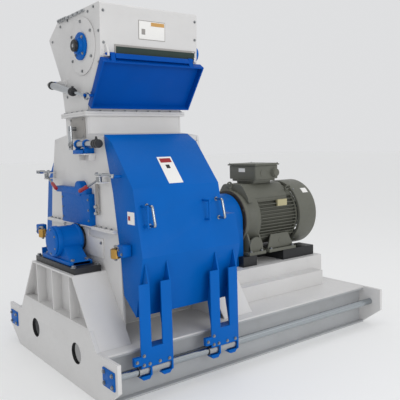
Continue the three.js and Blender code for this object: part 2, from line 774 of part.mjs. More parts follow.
// A rod with a fork whose pin runs in the slot of the flap's arm.
function flapRod() {
  const rod = rodY(LEVER_X, FLAP_LINE_Z, 9, -215, -36, 10);
  const z = [FLAP_LINE_Z - 10, FLAP_LINE_Z + 10];
  const root = box([LEVER_X - 15, LEVER_X + 15], [-42, -34], z);
  const cheeks = [
    [LEVER_X - 15, LEVER_X - 7],
    [LEVER_X + 7, LEVER_X + 15],
  ].map((x) => box(x, [-35, 12], z));
  const pin = rodX(0, FLAP_LINE_Z, FLAP_PIN_R, LEVER_X - 14, LEVER_X + 14, 10);
  return joined(rod, root, ...cheeks, pin);
}

// ---- feeder -----------------------------------------------------------------
const FEEDER_FOOT = NECK_TOP + GAP;
const FEEDER_OUTLINE = [
  [NECK_HALF, FEEDER_FOOT],
  [222, 2015],
  [396, 2311],
  [208, FEED_TOP],
  [-402, FEED_TOP],
  [-411, FEED_TOP - 12],
  [-394, 2100],
  [-NECK_HALF - 16, 1800],
  [-NECK_HALF, FEEDER_FOOT],
];

function feederHousing() {
  const shell = slabX(FEEDER_OUTLINE, MILL_X0, MILL_X1);
  const hollow = slabX(inset(FEEDER_OUTLINE, FEED_WALL), MILL_X0 + FEED_WALL, MILL_X1 - FEED_WALL);
  const lip = NECK_HALF + FLANGE_LIP;
  const flange = box(
    [MILL_X0 - FLANGE_LIP, MILL_X1 + FLANGE_LIP],
    [-lip, lip],
    [FEEDER_FOOT, FEEDER_FOOT + FLANGE_PLATE],
  );
  const inner = NECK_HALF - NECK_WALL;
  const mouth = box(
    [MILL_X0 + FEED_WALL, MILL_X1 - FEED_WALL],
    [-inner, inner],
    [FEEDER_FOOT - 1, FEEDER_FOOT + 40],
  );
  const inlet = box([MILL_X0 + 50, MILL_X1 - 50], [-220, 140], [FEED_TOP - 20, FEED_TOP + 1]);
  const port = rodX(FEED_ROLL_Y, FEED_ROLL_Z, FEED_PORT_R, MILL_X0 - 1, MILL_X0 + 20, DRUM);
  const farPort = rodX(FEED_ROLL_Y, FEED_ROLL_Z, FEED_SHAFT_R + 4, MILL_X1 - 20, MILL_X1 + 1, 16);
  const door = slabX(panStrip(-30, FEED_WALL + 8, 40, DRUM), MILL_X0 + 40, MILL_X1 - 40);
  const pane = box([MILL_X0 + PANE_START - 0.5, MILL_X1 - PANE_END + 0.5], [-430, -380], [2108, 2160]);
  const ears = [MILL_X0 + 30, MILL_X1 - 50].map((x) => panEar(x, x + 14));
  const stay = box([MILL_X0 - 16, MILL_X0 + 1], [120, 318], [1962, 2000]);
  const pivot = rodX(...PAN_CYLINDER_PIVOT, PAN_CYLINDER_PIN_R, LEVER_X - 20, MILL_X0 - 1, 12);
  const body = joined(shell, flange, ...ears, stay, pivot);
  return cut(body, hollow, mouth, inlet, port, farPort, door, pane);
}

// A strip along the slope of the pan, from depth a to depth b outside the housing.
function panStrip(a, b, trimTop, trimFoot) {
  const [dy, dz] = panAlong();
  const out = [dz, -dy];
  const at = (end, trim, depth) => [
    end[0] + dy * trim + out[0] * depth,
    end[1] + dz * trim + out[1] * depth,
  ];
  return orient([
    at(PAN_TOP, trimTop, a),
    at(PAN_TOP, trimTop, b),
    at(PAN_FOOT, -trimFoot, b),
    at(PAN_FOOT, -trimFoot, a),
  ]);
}

function panAlong() {
  const length = Math.hypot(PAN_FOOT[0] - PAN_TOP[0], PAN_FOOT[1] - PAN_TOP[1]);
  return [(PAN_FOOT[0] - PAN_TOP[0]) / length, (PAN_FOOT[1] - PAN_TOP[1]) / length];
}

function panEar(x0, x1) {
  const [y, z] = PAN_HINGE;
  const ear = slabX(
    orient([
      [-390, z - 14],
      [-390, z + 60],
      [-412, z + 60],
      [y - 14, z + 10],
      [y - 14, z - 14],
    ]),
    x0,
    x1,
  );
  return cut(ear, rodX(y, z, runningHole(PAN_HINGE_R, 12), x0 - 1, x1 + 1, 12));
}

function feederPan() {
  const x = [MILL_X0 - 6, MILL_X1 + PAN_OVERHANG];
  const inner = 4;
  const tray = slabX(panStrip(inner, inner + PAN_DEPTH, 4, 4), ...x);
  const pocket = slabX(
    panStrip(inner + PAN_FLOOR, inner + PAN_DEPTH + 5, 4 + PAN_RIM, 4 + PAN_RIM),
    x[0] + PAN_RIM,
    x[1] - PAN_RIM,
  );
  const hinge = rodX(...PAN_HINGE, PAN_HINGE_R, MILL_X0 + 22, MILL_X1 - 28, 12);
  const [y, z] = PAN_HINGE;
  const tabs = [MILL_X0 + 54, MILL_X1 - 94].map((x0) =>
    slabX(
      orient([
        [y - 10, z + 10],
        [y + 6, z + 10],
        [y + 6, z - 30],
        [y + 2, z - 46],
        [y - 20, z - 50],
      ]),
      x0,
      x0 + 30,
    ),
  );
  const pin = rodX(...PAN_PIN, PAN_PIN_R, LEVER_X - 18, MILL_X0, 16);
  return joined(cut(tray, pocket), hinge, ...tabs, pin);
}

// Where the pin of the pan stands, seen from the cylinder's pivot, with the pan open by a few degrees.
function panLine(degrees) {
  const a = (-degrees * Math.PI) / 180;
  const arm = [PAN_PIN[0] - PAN_HINGE[0], PAN_PIN[1] - PAN_HINGE[1]];
  const y = PAN_HINGE[0] + arm[0] * Math.cos(a) - arm[1] * Math.sin(a);
  const z = PAN_HINGE[1] + arm[0] * Math.sin(a) + arm[1] * Math.cos(a);
  const dy = y - PAN_CYLINDER_PIVOT[0];
  const dz = z - PAN_CYLINDER_PIVOT[1];
  return { length: Math.hypot(dy, dz), angle: Math.atan2(-dz, -dy) };
}

// The pin's path is an arc, so the cylinder lies halfway between its chord and its crown.
function panCylinderAngle() {
  const [shut, half, open] = [0, PAN_OPEN / 2, PAN_OPEN].map((d) => panLine(d).angle);
  return shut + (half - (shut + open) / 2) / 2;
}

// The cylinder and its rod are drawn along -Y from the pivot, then turned to the pan.
function panCylinder() {
  const tube = rodY(LEVER_X, 0, PAN_CYLINDER_R, -26 - PAN_CYLINDER_LENGTH, -26);
  const head = rodY(LEVER_X, 0, PAN_CYLINDER_R + 6, -26 - PAN_CYLINDER_LENGTH, -PAN_CYLINDER_LENGTH + 40);
  const eye = box([LEVER_X - 10, LEVER_X + 10], [-40, 18], [-18, 18]);
  const bore = rodY(LEVER_X, 0, 12, -30 - PAN_CYLINDER_LENGTH, -60, 10);
  return cut(joined(tube, head, eye), bore, rodX(0, 0, runningHole(PAN_CYLINDER_PIN_R, 12), LEVER_X - 11, LEVER_X + 11, 12));
}

function panRod() {
  const { length } = panLine(0);
  const rod = rodY(LEVER_X, 0, 10, -length + 20, -300, 10);
  const eye = rodX(-length, 0, PAN_PIN_R + PAN_EYE_PLAY + 8, LEVER_X - 9, LEVER_X + 9);
  const hole = rodX(-length, 0, PAN_PIN_R + PAN_EYE_PLAY, LEVER_X - 10, LEVER_X + 10);
  return cut(joined(rod, eye), hole);
}

function feederCover() {
  const x1 = MILL_X0 - GAP;
  const disc = rodX(FEED_ROLL_Y, FEED_ROLL_Z, FEED_COVER_R, x1 - 10, x1, DRUM);
  return cut(disc, rodX(FEED_ROLL_Y, FEED_ROLL_Z, FEED_SHAFT_R + 4, x1 - 11, x1 + 1, 16));
}

function feedBearing() {
  const x1 = MILL_X0 - 10 - 2 * GAP;
  const flange = rodX(FEED_ROLL_Y, FEED_ROLL_Z, 88, x1 - 16, x1, DRUM);
  const boss = rodX(FEED_ROLL_Y, FEED_ROLL_Z, 56, x1 - 46, x1 - 15);
  return cut(joined(flange, boss), rodX(FEED_ROLL_Y, FEED_ROLL_Z, FEED_SHAFT_R + 1, x1 - 47, x1 + 1, 16));
}

// The feed roll is drawn about its own axis.
function feedRoll() {
  const shaft = rodX(0, 0, FEED_SHAFT_R, MILL_X0 - 72, MILL_X1 + 60, 16);
  const x = [MILL_X0 + FEED_WALL + 12, MILL_X1 - FEED_WALL - 12];
  const flutes = Array.from({ length: 8 }, (_, i) => {
    const a = (i * Math.PI) / 4;
    return rodX(FEED_ROLL_R * Math.cos(a), FEED_ROLL_R * Math.sin(a), 22, x[0] - 1, x[1] + 1, 10);
  });
  return joined(shaft, cut(rodX(0, 0, FEED_ROLL_R, ...x, DRUM), ...flutes));
}

function feederWindow() {
  const x = [MILL_X0 + PANE_START, MILL_X1 - PANE_END];
  return box(x, [-404, -396], [2108 + GAP, 2160 - GAP]);
}

function feedGearmotor() {
  const x0 = MILL_X1 + GAP;
  const [y, z] = [FEED_ROLL_Y, FEED_ROLL_Z];
  const gearbox = box([x0, x0 + 90], [y - 70, y + 70], [z - 80, z + 80]);
  const drum = rodX(y, z + 10, 55, x0 + 89, x0 + 170);
  return cut(joined(gearbox, drum), rodX(y, z, FEED_SHAFT_R + 1, x0 - 1, x0 + 70, 16));
}

// ---- access doors, drawn at the front; the rear one is its mirror image -----
function doorRear(z) {
  return -casingHalfWidth(z) - DOOR_GAP;
}

const DOOR_PROFILE = [
  DOOR_TOP,
  DOOR_BROW,
  DOOR_FOLD,
  DOOR_BELLY,
  DOOR_FOOT,
  [doorRear(620) - 20, 600],
  [doorRear(CASING_LOW[1]), CASING_LOW[1]],
  [doorRear(CASING_MID[1]), CASING_MID[1]],
  [doorRear(1540), 1540],
];

function doorShell(x0, x1) {
  const outline = orient(DOOR_PROFILE);
  const outer = slabX(outline, x0, x1);
  const inner = inset(outline, DOOR_SHEET).map(([y, z]) => [y, z]);
  const rearRoom = orient([
    [-700, 500],
    [-300, 500],
    [-300, 1590],
    [-418, 1590],
    [-490, 1540],
    [-560, 1400],
  ]);
  const hollow = joined(slabX(inner, x0 + DOOR_SHEET, x1 - DOOR_SHEET));
  const mouth = slabX(rearRoom, x0 + DOOR_SHEET, x1 - DOOR_SHEET);
  return cut(outer, hollow, mouth);
}

function doorLeg(x0) {
  const x1 = x0 + LEG_WIDTH;
  const low = box([x0, x1], [LEG_FRONT, LEG_FRONT + LEG_PLATE], [RAIL_Z + RAIL_R + 2, LEG_WINDOW_FOOT]);
  const straps = [x0, x1 - LEG_STRAP].map((x) =>
    box([x, x + LEG_STRAP], [LEG_FRONT, LEG_FRONT + LEG_PLATE], [LEG_WINDOW_FOOT - 1, LEG_TOP]),
  );
  const webs = [x0 + LEG_STRAP - LEG_PLATE, x1 - LEG_PLATE].map((x) => legWeb(x));
  const feet = [x0 + 6, x1 - LEG_STRAP].map((x) =>
    box([x, x + LEG_STRAP - 6], [LEG_FRONT + 14, LEG_REAR - 22], [LEG_FOOT, LEG_FOOT + 10]),
  );
  const bracket = box([x0 - 48, x0 + 2], [LEG_FRONT + 1, LEG_FRONT + 26], [RAIL_Z + 48, RAIL_Z + 98]);
  const shelf = box([x0 + LEG_STRAP - 1, x1 - LEG_PLATE + 1], [LEG_FRONT + 1, LEG_REAR - 10], [
    LEG_WINDOW_FOOT - 8,
    LEG_WINDOW_FOOT,
  ]);
  const bushRoom = rodX(-RAIL_Y, RAIL_Z, RAIL_R + BUSH_WALL + RAIL_PLAY, x0 - 120, x1 + 1);
  return cut(joined(low, ...straps, ...webs, ...feet, bracket, shelf), bushRoom);
}

function legWeb(x) {
  return slabX(
    orient([
      [LEG_FRONT + 1, LEG_FOOT + 14],
      [LEG_FRONT + 20, LEG_FOOT],
      [LEG_REAR - 14, LEG_FOOT],
      [LEG_REAR, LEG_FOOT + 24],
      [LEG_REAR, 330],
      [DOOR_FOOT[0] - 2, DOOR_FOOT[1] + 10],
      [DOOR_BELLY[0] + 6, DOOR_BELLY[1] - 36],
      [LEG_FRONT + 1, LEG_TOP],
    ]),
    x,
    x + LEG_PLATE,
  );
}

function handle(x0) {
  const y = DOOR_BELLY[0];
  const posts = [1050, 1170].map((z) => rodY(x0, z, 7, y - 14, y + 60, 10));
  const grip = rodZ(x0, y - 8, 7, 1050 - 7, 1170 + 7, 10);
  return joined(grip, ...posts);
}

function accessDoor(x0) {
  const x1 = MILL_X1 + 2;
  const notch = box([x1 - DOOR_NOTCH, x1 + 1], [-1000, 0], [DOOR_LEDGE, 2000]);
  const upperEnd = cut(
    slabX(orient(DOOR_PROFILE), x1 - DOOR_NOTCH - DOOR_SHEET, x1 - DOOR_NOTCH),
    box([x1 - 200, x1], [-1000, 0], [0, DOOR_LEDGE - 20]),
  );
  const ledge = cut(
    slabX(orient(DOOR_PROFILE), x1 - DOOR_NOTCH - 4, x1),
    box([x1 - 200, x1 + 1], [-1000, 0], [0, DOOR_LEDGE - DOOR_SHEET]),
    box([x1 - 200, x1 + 1], [-1000, 0], [DOOR_LEDGE, 2000]),
  );
  const shell = joined(cut(doorShell(x0, x1), notch), upperEnd, ledge);
  const legs = [0, LEG_STEP - (x0 - DOOR_X0)].map((step) => doorLeg(x0 - LEG_OVERHANG + step));
  const lug = rodX(...LATCH_LUG, 9, LEVER_X + 2, x0 + 1, 10);
  const handles = [x0 + 42, x1 - DOOR_NOTCH - 150].map((x) => handle(x));
  return joined(shell, ...legs, lug, ...handles);
}

// Two bushes on the rail, joined by a strip that runs behind it.
function carriage(doorX0) {
  const x0 = doorX0 - LEG_OVERHANG - 6;
  const step = LEG_STEP - (doorX0 - DOOR_X0);
  const x1 = x0 + step + LEG_WIDTH + 12;
  const bush = rodX(-RAIL_Y, RAIL_Z, RAIL_R + BUSH_WALL, x0, x1);
  const bore = rodX(-RAIL_Y, RAIL_Z, runningHole(RAIL_R, ROUND), x0 - 1, x1 + 1);
  const bare = box(
    [x0 + LEG_WIDTH + 12, x0 + step],
    [-RAIL_Y - 2 * RAIL_R, -RAIL_Y + 12],
    [RAIL_Z - 2 * RAIL_R, RAIL_Z + 2 * RAIL_R],
  );
  return cut(bush, bore, bare);
}

// ---- latches, drawn about their own pivots ----------------------------------
function latchLever() {
  const hub = rodZ(0, 0, 16, -LATCH_EAR + 8 + GAP, LATCH_EAR - 8 - GAP, 12);
  const arm = box([-7, 7], [8, LATCH_REACH - 80], [-6.5, 6.5]);
  const grip = rodY(0, 0, 12, LATCH_REACH - 110, LATCH_REACH, 10);
  const drop = (-Math.atan2(LATCH_DROP, LATCH_REACH) * 180) / Math.PI;
  const turned = joined(arm, grip).rotate([drop, 0, LATCH_STANDOFF]);
  const pin = rodZ(0, LATCH_CRANK, 6, -20, LATCH_EAR + 16, 10);
  return cut(joined(hub, turned, pin), rodZ(0, 0, runningHole(LATCH_PIN_R, ROUND), -LATCH_EAR, LATCH_EAR));
}

// The claw reaches forward over the bracket and lies beside the lug of the door.
function latchHook() {
  const z = [LATCH_EAR + 2, LATCH_EAR + 12];
  const reach = LATCH_LUG[0] - LATCH_PIVOT[0] - LATCH_CRANK;
  const strap = box([-10, 10], [reach - 12, 14], z);
  const claw = box([-10, 6], [reach - 22, reach + 20], [z[0] - 14, z[1]]);
  const throat = box([-11, 11], [reach - 8, reach + 8], [z[0] - 15, z[0]]);
  return cut(joined(strap, claw), throat, rodZ(0, 0, runningHole(6, 10), z[0] - 1, z[1] + 1, 10));
}

// ---- motor ------------------------------------------------------------------
function motorStator() {
  const x1 = MOTOR_END - MOTOR_COWL_LENGTH - GAP;
  const shield = rodX(0, 0, MOTOR_RIM_R, MOTOR_X, MOTOR_X + 40, DRUM);
  const shoulder = rodX(0, 0, MOTOR_BODY_R - 6, MOTOR_X + 39, MOTOR_X + 130, DRUM);
  const frame = rodX(0, 0, MOTOR_BODY_R - 34, MOTOR_X + 129, x1, DRUM);
  const fins = [];
  for (const s of [-1, 1]) {
    for (let i = 0; i < MOTOR_FINS; i++) {
      const z = -150 + (300 * i) / (MOTOR_FINS - 1);
      const y = Math.sqrt(MOTOR_BODY_R ** 2 - z ** 2);
      fins.push(box([MOTOR_X + 129, x1], sorted(s * (y - 60), s * y), [z - 4, z + 4]));
    }
  }
  const floor = MOTOR_FEET_Z - AXIS_Z;
  const feet = [
    [MOTOR_X - 8, MOTOR_X + 174],
    [MOTOR_X + 214, MOTOR_X + 524],
  ].map((x) => {
    const pad = box(x, [-MOTOR_FOOT_HALF, MOTOR_FOOT_HALF], [floor, floor + 30]);
    const web = slabX(
      mirrored([
        [MOTOR_FOOT_HALF - 20, floor + 20],
        [MOTOR_BODY_R - 44, -110],
      ]),
      x[0] + 16,
      x[1] - 16,
    );
    return joined(pad, web);
  });
  const crown = slabX(
    mirrored([
      [196, 160],
      [146, MOTOR_CROWN],
    ]),
    MOTOR_X + 50,
    x1 - 70,
  );
  const hollow = rodX(0, 0, 170, MOTOR_X + 20, x1 + 1);
  const mouth = rodX(0, 0, MOTOR_SHAFT_R + 4, MOTOR_X - 1, MOTOR_X + 30);
  return cut(joined(shield, shoulder, frame, crown, ...fins, ...feet), hollow, mouth);
}

function motorCowl() {
  const x0 = MOTOR_END - MOTOR_COWL_LENGTH;
  const drum = rodX(0, 0, MOTOR_COWL_R, x0, MOTOR_END, DRUM);
  const inside = rodX(0, 0, MOTOR_COWL_R - 5, x0 - 1, MOTOR_END - 5, DRUM);
  const grille = cut(rodX(0, 0, 190, MOTOR_END - 6, MOTOR_END + 1), rodX(0, 0, 120, MOTOR_END - 7, MOTOR_END + 2));
  const spokes = joined(
    box([MOTOR_END - 5, MOTOR_END], [-210, 210], [-6, 6]),
    box([MOTOR_END - 5, MOTOR_END], [-6, 6], [-210, 210]),
  );
  const ring = rodX(0, 0, MOTOR_BODY_R - 20, x0, x0 + 12, DRUM);
  const collar = cut(rodX(0, 0, MOTOR_COWL_R - 2, x0, x0 + 8, DRUM), ring);
  return joined(cut(drum, inside, grille), spokes, collar);
}

function terminalBox() {
  const x = [MOTOR_X + TERMINAL_START, MOTOR_X + TERMINAL_START + TERMINAL_LENGTH];
  const foot = MOTOR_CROWN + GAP;
  const body = box(x, [-TERMINAL_HALF + 12, TERMINAL_HALF - 12], [foot + 34, TERMINAL_TOP - 15]);
  const lid = box([x[0] - 12, x[1] + 12], [-TERMINAL_HALF, TERMINAL_HALF], [TERMINAL_TOP - 16, TERMINAL_TOP]);
  const neck = box([x[0] + 50, x[1] - 50], [-100, 100], [foot, foot + 36]);
  const gland = rodY(x[1] - 66, foot + 84, 34, -TERMINAL_HALF - 24, -TERMINAL_HALF + 13);
  return joined(body, lid, neck, gland);
}

// Two cast blocks under the feet, tied by a flat bar along the middle.
function motorPads() {
  const z = [BED_TOP + GAP, MOTOR_FEET_Z - GAP];
  const x1 = MOTOR_END - MOTOR_COWL_LENGTH;
  const pads = [
    [MOTOR_X - 16, MOTOR_X + 69],
    [x1 - 197, x1 + 177],
  ].map((x) => box(x, [-MOTOR_FOOT_HALF, MOTOR_FOOT_HALF], z));
  const wings = [-1, 1].map((s) =>
    box([MOTOR_X - 76, MOTOR_X - 15], sorted(s * (GUARD_R + 4), s * MOTOR_FOOT_HALF), z),
  );
  const tie = box([MOTOR_X, x1 - 40], [-40, 40], [z[0], z[0] + 20]);
  const underCowl = box([x1 - 10, x1 + 178], [-MOTOR_FOOT_HALF + 170, MOTOR_FOOT_HALF - 170], [
    z[0] - 1,
    z[1] + 1,
  ]);
  return cut(joined(tie, ...pads, ...wings), underCowl);
}

// A hood that stands on the motor bed and reaches over the far bearing.
function couplingGuard() {
  const x = [MILL_X1 + 90, MOTOR_X - GUARD_STANDOFF];
  const outline = (r, foot) => [
    [r, foot],
    ...arcPoints(0, AXIS_Z, r, 0, Math.PI, 14),
    [-r, foot],
  ];
  const outer = slabX(outline(GUARD_R, BED_TOP + GAP), ...x);
  const inner = slabX(outline(GUARD_R - GUARD_SHEET, BED_TOP - 2), x[0] - 1, x[1] + 1);
  const overBearing = box(
    [x[0] - 1, MILL_X1 + BEARING_STANDOFF + BEARING_LENGTH + 4],
    [-GUARD_R - 1, GUARD_R + 1],
    [0, AXIS_Z - 80],
  );
  const overStand = box(
    [x[0] - 1, MILL_X1 + STAND_LENGTH_FAR + 2],
    [-GUARD_R - 1, GUARD_R + 1],
    [0, STAND_TOP + GAP],
  );
  return cut(outer, inner, overBearing, overStand);
}

// ---- assembly ---------------------------------------------------------------
function placed(group, x, y, z, ...meshes) {
  group.position.set(x, y, z);
  group.add(...meshes);
  return group;
}

function baseGroup() {
  const group = new THREE.Group();
  group.add(
    mesh("base_end_near", endPlate(NEAR_X, NEAR_X + END_PLATE, RECESS_BOTTOM), "white"),
    mesh("base_end_far", endPlate(FAR_X - END_PLATE, FAR_X, BASE_HEIGHT), "white"),
    mesh("base_side_front", sideChannel(-1), "white"),
    mesh("base_side_rear", sideChannel(1), "white"),
    mesh("base_deck", baseDeck(), "white"),
    mesh("bearing_stand_near", bearingStandNear(), "white"),
    mesh("bearing_stand_far", bearingStandFar(), "white"),
    mesh("motor_bed", motorBed(), "white"),
    mesh("guide_rail_front", guideRail(-RAIL_Y), "rail"),
    mesh("guide_rail_rear", guideRail(RAIL_Y), "rail"),
  );
  return group;
}

function casingGroup() {
  const group = new THREE.Group();
  group.add(
    mesh("casing_upper_near", casingUpperNear(), "white"),
    mesh("casing_lower_near", casingLowerNear(), "white"),
    mesh("casing_far", casingFar(), "white"),
    mesh("inlet_neck", inletNeck(), "white"),
    mesh("discharge_hopper", dischargeHopper(), "white"),
    mesh("window_cover", windowCover(), "blue"),
    mesh("shaft_cover", shaftCover(), "grey"),
    mesh("neck_cover", neckCover(), "grey"),
    mesh("screen_front", screen(-1), "steel"),
    mesh("screen_rear", screen(1), "steel"),
    mesh("flap_cylinder", flapCylinder(), "steel"),
    mesh("flap_rod", flapRod(), "steel"),
    placed(new THREE.Group(), 0, 0, FLAP_Z, mesh("direction_flap", directionFlap(), "steel")),
  );
  return group;
}

function bearingGroup() {
  const group = new THREE.Group();
  const near = [MILL_X0 - BEARING_STANDOFF - BEARING_LENGTH, MILL_X0 - BEARING_STANDOFF];
  const far = [MILL_X1 + BEARING_STANDOFF, MILL_X1 + BEARING_STANDOFF + BEARING_LENGTH];
  group.add(
    mesh("bearing_base_near", bearingBase(near[0], near[1]), "black"),
    mesh("bearing_base_far", bearingBase(far[0], far[1]), "black"),
    mesh("bearing_housing_near", bearingHousing(...near), "blue"),
    mesh("bearing_housing_far", bearingHousing(...far), "blue"),
    mesh("bearing_cap", bearingCap(near[0]), "blue"),
    mesh("shaft_seal", shaftSeal(near[1] + GAP, MILL_X0 - 8 - 2 * GAP), "black"),
  );
  return group;
}

function rotorGroup() {
  const rows = Array.from({ length: HAMMER_ROWS }, (_, row) => {
    const holder = placed(new THREE.Group(), 0, ...pinPlace(row), mesh(`hammer_row_${row + 1}`, hammerRow(row), "steel"));
    holder.rotation.x = Math.PI / 4 + (row * 2 * Math.PI) / HAMMER_ROWS - Math.PI / 2;
    return holder;
  });
  return placed(
    new THREE.Group(),
    0,
    0,
    AXIS_Z,
    mesh("rotor_shaft", rotorShaft(), "steel"),
    mesh("rotor_discs", rotorDiscs(), "steel"),
    ...rows,
    mesh("coupling_half_mill", couplingHalf(COUPLING_X - 6 - HALF_LENGTH, COUPLING_X - 6, SHAFT_R), "steel"),
    mesh("coupling_half_motor", couplingHalf(COUPLING_X + 6, COUPLING_X + 6 + HALF_LENGTH, MOTOR_SHAFT_R), "steel"),
    mesh("motor_rotor", motorRotor(), "steel"),
    mesh("motor_stator", motorStator(), "motor"),
    mesh("motor_cowl", motorCowl(), "motor"),
    mesh("terminal_box", terminalBox(), "motor"),
  );
}

function feederGroup() {
  const group = new THREE.Group();
  const roll = placed(new THREE.Group(), 0, FEED_ROLL_Y, FEED_ROLL_Z, mesh("feed_roll", feedRoll(), "steel"));
  const actuator = placed(
    new THREE.Group(),
    0,
    ...PAN_CYLINDER_PIVOT,
    mesh("pan_cylinder", panCylinder(), "steel"),
    mesh("pan_rod", panRod(), "steel"),
  );
  actuator.rotation.x = panCylinderAngle();
  group.add(
    mesh("feeder_housing", feederHousing(), "white"),
    mesh("feeder_cover", feederCover(), "white"),
    mesh("feed_bearing", feedBearing(), "blue"),
    mesh("feeder_pan", feederPan(), "blue"),
    mesh("feeder_window", feederWindow(), "glass"),
    mesh("feed_gearmotor", feedGearmotor(), "blue"),
    roll,
    actuator,
  );
  return group;
}

function accessGroup(label, side, setback) {
  const group = new THREE.Group();
  const [py, pz] = LATCH_PIVOT;
  const doorX0 = DOOR_X0 + setback;
  group.add(
    mesh(`door_${label}`, accessDoor(doorX0), "blue"),
    mesh(`carriage_${label}`, carriage(doorX0), "steel"),
    placed(new THREE.Group(), LATCH_X, py, pz, mesh(`latch_lever_${label}`, latchLever(), "red")),
    placed(new THREE.Group(), LATCH_X, py + LATCH_CRANK, pz, mesh(`latch_hook_${label}`, latchHook(), "steel")),
  );
  group.scale.y = side;
  return group;
}

const hammerMill = new THREE.Group();
hammerMill.name = "hammer_mill";
hammerMill.add(
  baseGroup(),
  casingGroup(),
  bearingGroup(),
  rotorGroup(),
  feederGroup(),
  mesh("coupling_guard", couplingGuard(), "blue"),
  mesh("motor_pads", motorPads(), "black"),
  accessGroup("front", 1, 0),
  accessGroup("rear", -1, REAR_DOOR_SETBACK),
);

export default hammerMill;
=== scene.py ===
# Looks of a hammer mill with its roll feeder, motor and base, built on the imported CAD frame.
import json
import math

import bmesh
import bpy
from mathutils import Matrix, Vector


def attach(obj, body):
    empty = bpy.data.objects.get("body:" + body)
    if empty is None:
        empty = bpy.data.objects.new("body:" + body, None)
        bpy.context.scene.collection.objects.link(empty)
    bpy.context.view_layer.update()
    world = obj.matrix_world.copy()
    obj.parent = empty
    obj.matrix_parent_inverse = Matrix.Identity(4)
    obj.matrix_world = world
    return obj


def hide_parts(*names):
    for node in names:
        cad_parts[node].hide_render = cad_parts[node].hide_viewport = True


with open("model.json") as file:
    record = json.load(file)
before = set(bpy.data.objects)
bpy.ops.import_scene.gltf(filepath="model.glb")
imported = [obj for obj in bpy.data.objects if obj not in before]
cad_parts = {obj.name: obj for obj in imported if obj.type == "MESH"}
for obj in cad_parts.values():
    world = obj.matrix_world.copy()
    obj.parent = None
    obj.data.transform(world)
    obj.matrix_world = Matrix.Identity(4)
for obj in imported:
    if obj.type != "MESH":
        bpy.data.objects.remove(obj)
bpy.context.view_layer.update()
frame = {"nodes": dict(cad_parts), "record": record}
scene = bpy.context.scene
NODES = frame["nodes"]

# ---- camera -----------------------------------------------------------------
CAM_PLACE = (-2.6711, -3.6326, 1.5238)
CAM_RIGHT = (0.79755991, -0.6025651, -0.02852175)
CAM_UP = (0.0813383, 0.06057016, 0.99484438)
CAM_AHEAD = (0.59773094, 0.7957679, -0.09731995)
CAM_LENS = 50.887


def make_camera():
    data = bpy.data.cameras.new("camera")
    data.sensor_width = 36.0
    data.lens = CAM_LENS
    data.clip_end = 200.0
    cam = bpy.data.objects.new("camera", data)
    scene.collection.objects.link(cam)
    turn = Matrix((CAM_RIGHT, CAM_UP, [-c for c in CAM_AHEAD])).transposed()
    cam.matrix_world = Matrix.Translation(CAM_PLACE) @ turn.to_4x4()
    scene.camera = cam


make_camera()


# ---- shared places, in millimetres ------------------------------------------
SHAFT_Z = 900  # height of the rotor and motor shaft
NEAR_FACE = -984.4  # the near wall of the casing and feeder, with its paint gap
RAIL_Y, RAIL_Z, RAIL_R = 790, 190, 25  # the guide rails
END_X = 1225  # the outer faces of the two end plates
CYLINDER_X = -1034  # the line of both small cylinders


